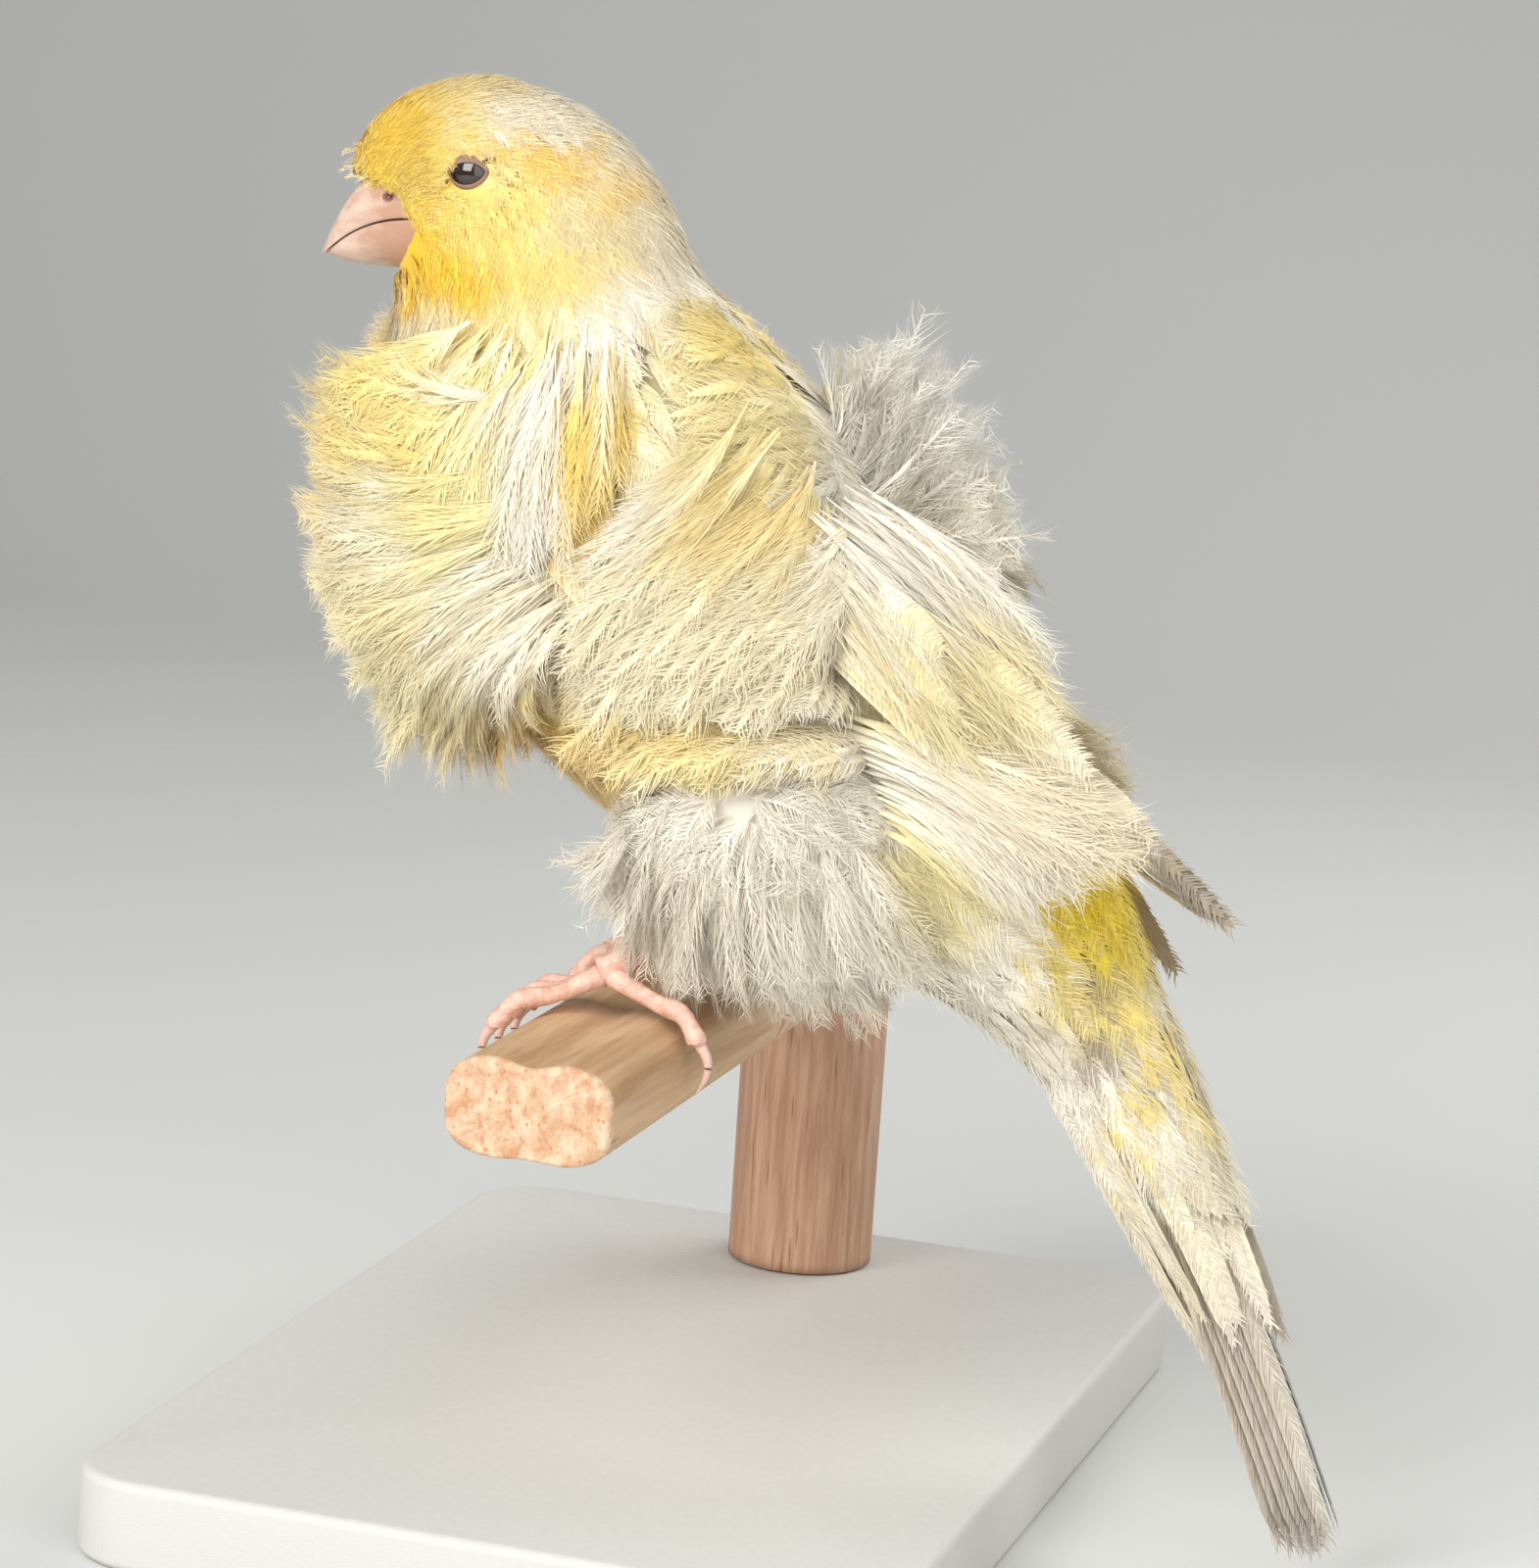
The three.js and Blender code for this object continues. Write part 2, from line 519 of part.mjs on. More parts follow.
toMesh('stand_base', toSolid(plate), COLOURS.base, 0.6);

// Feet: each tarsus comes down to a joint above the perch, from where three toes go forward
// over the edge and one goes back. Places are x, y, z of this foot and not mirrored. A toe's line
// is given by the way forward, the share of the way across to its end, and the height.
const TOE_START = [1.2, 0.12, -0.9];
const TOE_LINE = [[5, 0.55, 1.7], [8, 0.88, 1.1], [9.7, 1, -1.0]];
const CLAW_LINE = [[10.0, -1.5], [11.1, -3.0], [11.0, -4.8], [9.9, -6.8]];
const FEET = {
  left: { shin: [[10.5, -11.5, 12.8], [6.4, -12, 8.6], [2.6, -13.1, 6.1]], joint: [-0.8, -14, 4.0],
    toes: { inner: -11.6, middle: -16.2, outer: -20.8 }, back: -17.2 },
  right: { shin: [[10.5, 10.5, 12.8], [6.6, 9.6, 8.6], [2.6, 8.7, 6.0]], joint: [-0.8, 8, 3.8],
    toes: { inner: 3.4, middle: 8.2, outer: 13 }, back: 9.6 },
};
const taken = [perchGrown];
const toVector = (p) => new THREE.Vector3(...p);
for (const [side, foot] of Object.entries(FEET)) {
  const joint = toVector(foot.joint);
  const [jx, jy, jz] = foot.joint;
  const shinLine = [...foot.shin.map(toVector), joint];
  const shin = (grow) => limb(shinLine, SHIN_RADII, grow, 8, 5);
  const pieces = [[`tarsus_${side}`, shin, COLOURS.flesh]];
  const ends = Object.entries(foot.toes).map(([toe, y]) => [toe, y, -1]);
  for (const [toe, y, front] of [...ends, ['back', foot.back, 1]]) {
    const reach = y - jy;
    const start = new THREE.Vector3(jx + front * TOE_START[0], jy + reach * TOE_START[1], jz + TOE_START[2]);
    const rest = TOE_LINE.map(([x, share, z]) => new THREE.Vector3(front * x, jy + reach * share, z));
    const toeLine = [start, ...rest];
    const clawLine = CLAW_LINE.map(([x, z]) => new THREE.Vector3(front * x, y, z));
    pieces.push([`toe_${toe}_${side}`, (grow) => limb(toeLine, TOE_RADII, grow, 6, 4), COLOURS.flesh]);
    pieces.push([`claw_${toe}_${side}`, (grow) => limb(clawLine, CLAW_RADII, grow, 4, 3), COLOURS.claw]);
  }
  for (const [name, make, colour] of pieces) {
    toMesh(name, make(0).subtract(join(taken)), colour, 0.5);
    taken.push(make(GAP));
  }
}

// Head: eyes in lidded sockets, and a two-part conical bill
const skinGrown = bodyLoft(0, LAST, GAP);
function ball(centre, radii, turns = 12) {
  const geometry = new THREE.SphereGeometry(1, turns, turns - 4);
  geometry.scale(...radii);
  geometry.translate(...centre);
  return toSolid(geometry);
}
const head = [bodyLoft(0, HEAD_END, 0)];
const headCuts = [];
for (const side of [LEFT, RIGHT]) {
  const name = side === LEFT ? 'left' : 'right';
  const centre = [EYE.x, side * EYE.y, EYE.z];
  toMesh(`eye_${name}`, ball(centre, [EYE.radius, EYE.radius, EYE.radius]), COLOURS.eye, 0.1);
  const lids = [];
  for (let k = 0; k < LIDS.steps; k += 1) {
    const angle = (2 * Math.PI * k) / LIDS.steps;
    const [x, z] = [EYE.x + LIDS.length * Math.cos(angle), EYE.z + LIDS.rise + LIDS.height * Math.sin(angle)];
    const point = onBody(x, z, side);
    lids.push(point.addScaledVector(outward(point), LIDS.lift));
  }
  head.push(rimRing(lids, LIDS.radius, LIDS.steps, LIDS.sides));
  headCuts.push(ball(centre, [EYE.radius + GAP, EYE.radius + GAP, EYE.radius + GAP]));
}
function rimRing(points, radius, steps, sides) {
  const path = new THREE.CatmullRomCurve3(points, true, 'catmullrom');
  const positions = [];
  const index = [];
  const middle = points.reduce((sum, p) => sum.add(p), new THREE.Vector3()).divideScalar(points.length);
  for (let i = 0; i < steps; i += 1) {
    const centre = path.getPoint(i / steps);
    const out = centre.clone().sub(middle).normalize();
    const up = out.clone().cross(path.getTangent(i / steps)).normalize();
    for (let k = 0; k < sides; k += 1) {
      const angle = (2 * Math.PI * k) / sides;
      positions.push(centre.clone().addScaledVector(out, radius * Math.cos(angle))
        .addScaledVector(up, radius * Math.sin(angle)));
      const [a, b] = [i * sides + k, i * sides + ((k + 1) % sides)];
      const [c, d] = [((i + 1) % steps) * sides + k, ((i + 1) % steps) * sides + ((k + 1) % sides)];
      index.push(a, c, b, b, c, d);
    }
  }
  const geometry = new THREE.BufferGeometry().setFromPoints(positions);
  geometry.setIndex(index);
  const solid = toSolid(geometry);
  if (solid.volume() > 0) return solid;
  geometry.setIndex(index.reverse());
  return toSolid(geometry);
}

// The bill's two halves share the mouth line, which bends down from the gape to the tip. The upper
// half arches from there to the culmen, and the lower one reaches down to a level keel.
const mouthLine = (u) => new THREE.Vector3(
  THREE.MathUtils.lerp(BILL.gape[0], BILL.tip[0], u), 0,
  THREE.MathUtils.lerp(BILL.gape[1], BILL.tip[1], u ** BILL.mouthBend));
const culmenHeight = (u) => BILL.height * (1 - u ** BILL.culmenBend) ** BILL.taper;
const keelDepth = (u) => (mouthLine(u).z - BILL.keel) * (1 - (u / BILL.lowerReach) ** BILL.keelBend);
const billWidth = (u) => BILL.halfWidth * (1 - u ** BILL.sideBend) ** BILL.taper;
function billHalf(up, grow) {
  const reach = up > 0 ? 1 : BILL.lowerReach;
  const lift = new THREE.Vector3(0, 0, up * (GAP / 2 - grow));
  const rings = [];
  for (let i = 0; i < BILL.steps; i += 1) {
    const u = (reach * i) / (BILL.steps - 0.6);
    const tall = (up > 0 ? culmenHeight(u) : keelDepth(u)) + BILL.blunt + 2 * grow;
    const wide = billWidth(u / reach) + BILL.blunt + grow;
    const centre = mouthLine(u).add(lift);
    centre.x += i === 0 ? grow : 0;
    const ring = [];
    for (let k = 0; k <= 8; k += 1) {
      const angle = (Math.PI * k) / 8;
      const offset = new THREE.Vector3(0, wide * Math.cos(angle), up * tall * Math.sin(angle));
      ring.push(centre.clone().add(offset));
    }
    rings.push(ring);
  }
  return loft(rings, undefined, mouthLine(reach).add(lift).add(new THREE.Vector3(-grow, 0, 0)));
}
const nostrils = [LEFT, RIGHT].map((side) => {
  const [x, y, z] = NOSTRIL.place;
  return ball([x, side * y, z], NOSTRIL.radii, 8);
});
toMesh('bill_upper', billHalf(1, 0).subtract(join(nostrils)), COLOURS.horn, 0.4);
toMesh('bill_lower', billHalf(-1, 0), COLOURS.horn, 0.4);
const billGrown = join([billHalf(1, GAP), billHalf(-1, GAP)]);
headCuts.push(billGrown, prism(FACE_EDGE));
toMesh('head', join(head).subtract(join(headCuts)), COLOURS.gold);

// Torso: one smooth form parted into zones that are drawn in the side view. Their shared corners
// lie on the line that splits the back from the belly, and each zone keeps half a gap from it.
const SPLIT = { top: [-15, 68], middle: [8, 50], rear: [21, 37.7], end: [48, 12] };
const CHEST_END = [-45, 16];
const FLANK_Y = 9;
const ZONES = {
  breast: [SPLIT.top, SPLIT.middle, CHEST_END, [-70, 40], [-60, 90]],
  belly: [SPLIT.middle, SPLIT.end, [80, -40], [-60, -40], CHEST_END],
  mantle: [SPLIT.top, SPLIT.middle, SPLIT.rear, [46, 60], [30, 95], [-15, 95]],
  rump: [SPLIT.rear, SPLIT.end, [90, 0], [90, 60], [46, 60]],
};
const FLANK_ZONE = [[-4, 59.4], SPLIT.middle, SPLIT.end, [48, -20], [-4, -20]];
const TAIL_ZONE = [[4, -1.8], [71, 17.7], [120, -80], [0, -80]];
const FAR_BELOW = -200;
const ROOM_ENDS = [-0.06, 1];

function zone(outline, inset, y0 = -REACH, y1 = REACH) {
  const area = THREE.ShapeUtils.area(outline.map(([x, z]) => new THREE.Vector2(x, z)));
  const corners = area > 0 ? outline : outline.slice().reverse();
  const lines = corners.map((corner, i) => {
    const a = new THREE.Vector2(...corner);
    const b = new THREE.Vector2(...corners[(i + 1) % corners.length]);
    const dir = b.sub(a).normalize();
    return { point: a.add(new THREE.Vector2(-dir.y, dir.x).multiplyScalar(inset)), dir };
  });
  const moved = lines.map((line, i) => {
    const before = lines[(i + lines.length - 1) % lines.length];
    const gap = line.point.clone().sub(before.point);
    const t = gap.cross(line.dir) / before.dir.cross(line.dir);
    return before.point.clone().addScaledVector(before.dir, t);
  });
  return prism(moved.map((p) => [p.x, p.y]), y0 + inset, y1 - inset);
}

const torso = bodyLoft(NECK_END + STATION_GAP, TORSO_END, 0);
const flankZones = {
  left: (inset) => zone(FLANK_ZONE, inset, -REACH, -FLANK_Y),
  right: (inset) => zone(FLANK_ZONE, inset, FLANK_Y, REACH),
};
const bothFlanks = join([flankZones.left(-GAP / 2), flankZones.right(-GAP / 2)]);

// A part of the body with its feathers: these keep clear of the rest of the body and of what
// was made before.
function feathered(name, core, room, fans, side, colour) {
  const others = skinGrown.subtract(room);
  const coat = plumage(fans, side, 0).subtract(others).subtract(join(taken));
  taken.push(toMesh(name, join([core, coat]), colour), plumage(fans, side, LOCK.clear));
}
const half = GAP / 2;
const belowNeck = (() => {
  const { front, back } = section(NECK_END + STATION_GAP);
  const line = back.clone().sub(front);
  const near = front.clone().addScaledVector(line, -2);
  const far = back.clone().addScaledVector(line, 2);
  return prism([[near.x, near.z], [far.x, far.z], [far.x, FAR_BELOW], [near.x, FAR_BELOW]]);
})();
const mantleRoom = zone(ZONES.mantle, half).intersect(belowNeck);
feathered('mantle', torso.intersect(mantleRoom), mantleRoom, 'mantle', 0, COLOURS.cream);
for (const [name, side] of [['left', LEFT], ['right', RIGHT]]) {
  const room = flankZones[name](half);
  feathered(`flank_${name}`, torso.intersect(room), room, 'flank', side, COLOURS.cream);
}
const breastRoom = zone(ZONES.breast, half).subtract(bothFlanks).intersect(belowNeck);
feathered('breast', torso.intersect(breastRoom), breastRoom, 'breast', 0, COLOURS.cream);

// The room between two stations, drawn wide at the back and just past the front.
function stationRoom(from, to) {
  const [a, b] = [section(from), section(to)];
  const ends = (part) => {
    const line = part.back.clone().sub(part.front);
    const near = part.front.clone().addScaledVector(line, ROOM_ENDS[0]);
    const far = part.back.clone().addScaledVector(line, ROOM_ENDS[1]);
    return [[near.x, near.z], [far.x, far.z]];
  };
  const [startA, endA] = ends(a);
  const [startB, endB] = ends(b);
  return prism([startA, endA, endB, startB]);
}
const neckCore = bodyLoft(HEAD_END + STATION_GAP, NECK_END, 0);
feathered('neck', neckCore, stationRoom(HEAD_END + STATION_GAP, NECK_END), 'neck', 0, COLOURS.cream);

// Wings: a flat arm against the body that carries three tiers of feathers
function wingArm(side, grow) {
  const path = line3(WING_ARM.line.map(([x, z]) => new THREE.Vector3(x, 0, z)));
  const rings = [];
  for (let i = 0; i <= WING_ARM.steps; i += 1) {
    const u = i / WING_ARM.steps;
    const centre = path.getPoint(u);
    const tangent = path.getTangent(u);
    const tall = WING_ARM.half * Math.sin(Math.PI * (WING_ARM.swell[0] + WING_ARM.swell[1] * u)) + grow;
    const ring = [];
    for (let k = 0; k < 8; k += 1) {
      const angle = (2 * Math.PI * k) / 8;
      const across = tall * Math.cos(angle);
      const place = onBody(centre.x - tangent.z * across, centre.z + tangent.x * across, side);
      const lift = WING_ARM.lift + (WING_ARM.thick + grow) * Math.sin(angle);
      ring.push(place.addScaledVector(outward(place), lift));
    }
    rings.push(ring);
  }
  return loft(rings);
}
const wings = [];
for (const [name, side] of [['left', LEFT], ['right', RIGHT]]) {
  const wing = join([wingArm(side, 0), plumage('wing', side, 0)]);
  wings.push(toMesh(`wing_${name}`, wing.subtract(skinGrown).subtract(join(taken)), COLOURS.grey));
}
taken.push(...wings);
for (const side of [LEFT, RIGHT]) taken.push(wingArm(side, GAP), plumage('wing', side, LOCK.clear));

for (const [name, side] of [['left', LEFT], ['right', RIGHT]]) {
  const centre = [THIGH.centre[0], side * THIGH.centre[1], THIGH.centre[2]];
  const ham = ball(centre, THIGH.radii, 14);
  const thigh = join([ham, plumage('thigh', side, 0)]);
  const thighSolid = toMesh(`thigh_${name}`, thigh.subtract(skinGrown).subtract(join(taken)), COLOURS.white);
  const hamGrown = ball(centre, THIGH.radii.map((r) => r + GAP), 14);
  taken.push(thighSolid, hamGrown, plumage('thigh', side, LOCK.clear));
}
const bellyRoom = zone(ZONES.belly, half).subtract(bothFlanks);
feathered('belly', torso.intersect(bellyRoom), bellyRoom, 'belly', 0, COLOURS.white);
const rumpRoom = zone(ZONES.rump, half);
toMesh('rump', torso.intersect(rumpRoom), COLOURS.gold);
const tailCore = bodyLoft(TORSO_END + STATION_GAP, LAST, 0);
feathered('tail', tailCore, zone(TAIL_ZONE, 0), 'tail', 0, COLOURS.grey);

group.position.set(0, -BASE.middleY, PERCH_TOP);
export default group;
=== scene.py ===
# A life-size frilled canary on a cut length of perch, held by a plain stand: the looks.
# The bird is laid out in millimetres in its own frame: x along the body with the bill towards -x,
# y from its middle plane with its left side towards -y, and z from the top of the perch.
import math

import bpy
import numpy as np
from mathutils import Matrix, Vector


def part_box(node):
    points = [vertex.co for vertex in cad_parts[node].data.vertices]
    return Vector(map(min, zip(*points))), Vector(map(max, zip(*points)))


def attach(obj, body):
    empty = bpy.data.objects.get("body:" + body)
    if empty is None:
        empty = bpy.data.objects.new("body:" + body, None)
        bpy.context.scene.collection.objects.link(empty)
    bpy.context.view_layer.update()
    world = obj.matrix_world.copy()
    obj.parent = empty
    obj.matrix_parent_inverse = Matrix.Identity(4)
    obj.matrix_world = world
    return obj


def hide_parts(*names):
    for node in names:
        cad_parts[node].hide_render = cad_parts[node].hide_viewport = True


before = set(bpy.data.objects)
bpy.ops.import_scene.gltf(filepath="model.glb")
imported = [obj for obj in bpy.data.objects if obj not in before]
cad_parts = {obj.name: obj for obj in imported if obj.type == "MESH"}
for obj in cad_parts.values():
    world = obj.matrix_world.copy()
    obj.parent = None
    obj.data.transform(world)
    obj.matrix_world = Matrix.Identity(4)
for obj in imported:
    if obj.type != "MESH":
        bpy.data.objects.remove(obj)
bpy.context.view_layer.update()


# Camera. A long lens that looks a little down on the bird's left side, from somewhat behind it, and is
# rolled slightly, as the perch's end and the post show.
EYE_HEIGHT = 0.0808
eye_low, eye_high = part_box("eye_left")
BIRD_MIDDLE = 0.5 * (eye_high.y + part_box("eye_right")[0].y)
PERCH_TOP = 0.5 * (eye_low.z + eye_high.z) - EYE_HEIGHT
ORIGIN = np.array([0.0, BIRD_MIDDLE, PERCH_TOP])
MM = 0.001


def to_row(points):
    """Places in the bird's frame, in millimetres, as places of the part, in metres."""
    return np.asarray(points, float) * MM + ORIGIN


CAMERA_PLACE = (148.12, -464.96, 110.28)
CAMERA_TURN, CAMERA_RISE, CAMERA_ROLL = (math.radians(a) for a in (16.5, 10.33, 3.84))
camera_data = bpy.data.cameras.new("camera")
camera_data.lens = 112.5
camera_data.sensor_width = 36.0
camera = bpy.data.objects.new("camera", camera_data)
bpy.context.scene.collection.objects.link(camera)
back = Vector((math.sin(CAMERA_TURN) * math.cos(CAMERA_RISE),
               -math.cos(CAMERA_TURN) * math.cos(CAMERA_RISE), math.sin(CAMERA_RISE)))
right = Vector((math.cos(CAMERA_TURN), math.sin(CAMERA_TURN), 0.0))
upright = back.cross(right)
rolled_right = right * math.cos(CAMERA_ROLL) + upright * math.sin(CAMERA_ROLL)
rolled_up = upright * math.cos(CAMERA_ROLL) - right * math.sin(CAMERA_ROLL)
turn = Matrix((rolled_right, rolled_up, back)).transposed()
camera.matrix_world = Matrix.Translation(to_row(CAMERA_PLACE)) @ turn.to_4x4()
bpy.context.scene.camera = camera


# Studio. A pale matt sweep of paper under and behind the stand, lit by one broad soft lamp from the
# front left, a weaker fill from the right and a rim from behind.
def colour(red, green, blue):
    """A colour given as 0 to 255 display values, as linear light with full opacity."""
    values = [v / 255 for v in (red, green, blue)]
    return tuple(v / 12.92 if v <= 0.04045 else ((v + 0.055) / 1.055) ** 2.4 for v in values) + (1.0,)


def feed(tree, socket, value):
    """Links an output to a socket, or else sets the socket to a value."""
    if isinstance(value, bpy.types.NodeSocket):
        tree.links.new(value, socket)
    else:
        socket.default_value = value


def add_node(tree, kind, *first_sockets, **settings):
    """A node with its settings. Values and links for its sockets stand in their order, or under
    their labels among the settings."""
    node = tree.nodes.new("ShaderNode" + kind)
    for key, value in settings.items():
        if hasattr(node, key):
            setattr(node, key, value)
        else:
            feed(tree, node.inputs[key.replace("_", " ")], value)
    for socket, value in zip(node.inputs, first_sockets):
        feed(tree, socket, value)
    return node


def mixed(tree, share, first, second, blend_type="MIX"):
    """Two colours mixed by a share."""
    node = add_node(tree, "Mix", share, data_type="RGBA", blend_type=blend_type)
    feed(tree, node.inputs[6], first)
    feed(tree, node.inputs[7], second)
    return node.outputs[2]


def new_group(name, inputs, outputs):
    """A node group with named sockets, given with their kinds, and its own two ends."""
    group = bpy.data.node_groups.new(name, "ShaderNodeTree")
    for way, sockets in (("INPUT", inputs), ("OUTPUT", outputs)):
        for label, kind in sockets.items():
            group.interface.new_socket(label, in_out=way, socket_type="NodeSocket" + kind)
    return group, group.nodes.new("NodeGroupInput"), group.nodes.new("NodeGroupOutput")


def make_mottle_group():
    """Soft spots between two colours, with their height, where a noise runs between two limits."""
    group, start, end = new_group(
        "mottle", {"Place": "Vector", "Scale": "Float", "Detail": "Float", "Low Color": "Color",
                   "High Color": "Color", "Low Limit": "Float", "High Limit": "Float"},
        {"Color": "Color", "Height": "Float"})
    given = start.outputs
    noise = add_node(group, "TexNoise", Vector=given["Place"], Scale=given["Scale"], Detail=given["Detail"])
    spread = add_node(group, "MapRange", noise.outputs["Fac"], given["Low Limit"], given["High Limit"])
    tint = mixed(group, spread.outputs["Result"], given["Low Color"], given["High Color"])
    feed(group, end.inputs["Color"], tint)
    feed(group, end.inputs["Height"], noise.outputs["Fac"])
    return group


mottle_group = make_mottle_group()


def new_material(name, rough):
    """A material, its node tree and its shader."""
    material = bpy.data.materials.new(name)
    material.use_nodes = True
    tree = material.node_tree
    shader = tree.nodes["Principled BSDF"]
    shader.inputs["Roughness"].default_value = rough
    return material, tree, shader


def mottle(tree, shader, low, high, scale, detail, limits=(0.0, 1.0), coordinates="Generated"):
    """Colours a shader with soft spots and gives back their height."""
    place = add_node(tree, "TexCoord").outputs[coordinates]
    spots = add_node(tree, "Group", node_tree=mottle_group, Place=place, Scale=scale, Detail=detail,
                     Low_Color=low, High_Color=high, Low_Limit=limits[0], High_Limit=limits[1])
    feed(tree, shader.inputs["Base Color"], spots.outputs["Color"])
    return spots.outputs["Height"]


def mesh_piece(name, points, faces, material):
    """A mesh object from places in the bird's frame and its faces."""
    mesh = bpy.data.meshes.new(name)
    mesh.from_pydata([tuple(p) for p in to_row(points)], [], [tuple(f) for f in faces])
    mesh.polygons.foreach_set("use_smooth", [True] * len(mesh.polygons))
    mesh.materials.append(material)
    mesh.update()
    piece = bpy.data.objects.new(name, mesh)
    bpy.context.scene.collection.objects.link(piece)
    return piece


FLOOR = -1000 * PERCH_TOP
SWEEP = {"front": -4000, "bend": 500, "rise": 1600, "half": 4000, "radius": 300}
paper_material, paper_tree, paper_shader = new_material("studio_paper", 0.9)
mottle(paper_tree, paper_shader, colour(206, 207, 204), colour(211, 212, 209), 6.0, 3.0)
sweep_line = [(SWEEP["front"], FLOOR)]
for step in range(13):
    angle = math.pi / 2 * step / 12
    sweep_line.append((SWEEP["bend"] + SWEEP["radius"] * math.sin(angle),
                       FLOOR + SWEEP["radius"] * (1 - math.cos(angle))))
sweep_line.append((SWEEP["bend"] + SWEEP["radius"], FLOOR + SWEEP["rise"]))
sweep_points = [(x, y, z) for y, z in sweep_line for x in (-SWEEP["half"], SWEEP["half"])]
sweep_faces = [(2 * i, 2 * i + 1, 2 * i + 3, 2 * i + 2) for i in range(len(sweep_line) - 1)]
mesh_piece("studio_floor", sweep_points, sweep_faces, paper_material)

LAMP_AIM = (5, 0, 30)
LAMPS = {
    "key": {"place": (-190, -500, 360), "size": 0.45, "power": 4.1},
    "fill": {"place": (380, -420, 180), "size": 0.60, "power": 1.7},
    "rim": {"place": (260, 330, 380), "size": 0.40, "power": 1.6},
}
for lamp_name, lamp in LAMPS.items():
    light = bpy.data.lights.new("lamp_" + lamp_name, "AREA")
    light.size = lamp["size"]
    light.energy = lamp["power"]
    holder = bpy.data.objects.new("lamp_" + lamp_name, light)
    holder.location = to_row(lamp["place"])
    holder.rotation_mode = "QUATERNION"
    holder.rotation_quaternion = (Vector(to_row(LAMP_AIM)) - holder.location).to_track_quat("-Z", "Y")
    bpy.context.scene.collection.objects.link(holder)
world = bpy.data.worlds.new("studio_air")
world.use_nodes = True
world.node_tree.nodes["Background"].inputs["Color"].default_value = colour(242, 241, 240)
world.node_tree.nodes["Background"].inputs["Strength"].default_value = 0.40
bpy.context.scene.world = world
bpy.context.scene.view_settings.view_transform = "Standard"


# Base. A flat board with rounded corners and softened edges, cut from sheet and painted matt white.
# The post stands on it near one end.
def ring_faces(rows, around):
    """Quads between rows of points, each row going round once."""
    faces = []
    for r in range(rows - 1):
        for k in range(around):
            n = (k + 1) % around
            faces.append((r * around + k, r * around + n, (r + 1) * around + n, (r + 1) * around + k))
    return faces


def capped(rings):
    """Points and faces of a body over rings of equal count, with a flat cap at each end."""
    around = len(rings[0])
    rings = np.asarray(rings, float)
    points = np.concatenate([rings.reshape(-1, 3), rings[:1].mean(1), rings[-1:].mean(1)])
    first = len(rings) * around
    end = first - around
    faces = ring_faces(len(rings), around)
    faces += [((k + 1) % around, k, first) for k in range(around)]
    faces += [(end + k, end + (k + 1) % around, first + 1) for k in range(around)]
    return points, faces


base_low, base_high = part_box("stand_base")
BASE_EDGE = 1.0
BASE_CORNER = 8.0
base_size = np.array([base_high.x - base_low.x, base_high.y - base_low.y]) / MM
base_middle = (np.array([base_low.x + base_high.x, base_low.y + base_high.y]) / 2 - ORIGIN[:2]) / MM
base_bottom = (base_low.z - ORIGIN[2]) / MM
base_top = (base_high.z - ORIGIN[2]) / MM


def base_ring(inset, height):
    """The board's rounded outline at a height, drawn in by an inset."""
    radius = BASE_CORNER - inset
    ring = []
    for quarter, (sign_x, sign_y) in enumerate(((1, 1), (-1, 1), (-1, -1), (1, -1))):
        corner_x = base_middle[0] + sign_x * (base_size[0] / 2 - BASE_CORNER)
        corner_y = base_middle[1] + sign_y * (base_size[1] / 2 - BASE_CORNER)
        for step in range(9):
            angle = math.pi / 2 * (quarter + step / 8)
            ring.append((corner_x + radius * math.cos(angle), corner_y + radius * math.sin(angle), height))
    return ring


edge_angles = [math.pi / 2 * step / 6 for step in range(7)]
base_rings = [base_ring(BASE_EDGE * (1 - math.sin(a)), base_bottom + BASE_EDGE * (1 - math.cos(a)))
              for a in edge_angles]
base_rings += [base_ring(BASE_EDGE * (1 - math.cos(a)), base_top - BASE_EDGE * (1 - math.sin(a)))
               for a in edge_angles]


def bumped(tree, shader, height, strength, distance):
    """Roughens a shader's surface by a height."""
    bump = add_node(tree, "Bump", Strength=strength, Distance=distance, Height=height)
    feed(tree, shader.inputs["Normal"], bump.outputs["Normal"])


def dress(piece, slot, *nodes):
    """Fixes a piece to the model's one body, in the place of nodes. The slot is not used."""
    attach(piece, "root")
    if nodes:
        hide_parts(*nodes)


base_material, base_tree, base_shader = new_material("matt_paint", 0.62)
base_grit = mottle(base_tree, base_shader, colour(204, 203, 197), colour(214, 213, 208), 90.0, 5.0)
bumped(base_tree, base_shader, base_grit, 0.25, 0.0002)
base_piece = mesh_piece("display_base", *capped(base_rings), base_material)
dress(base_piece, "base_board", "stand_base")


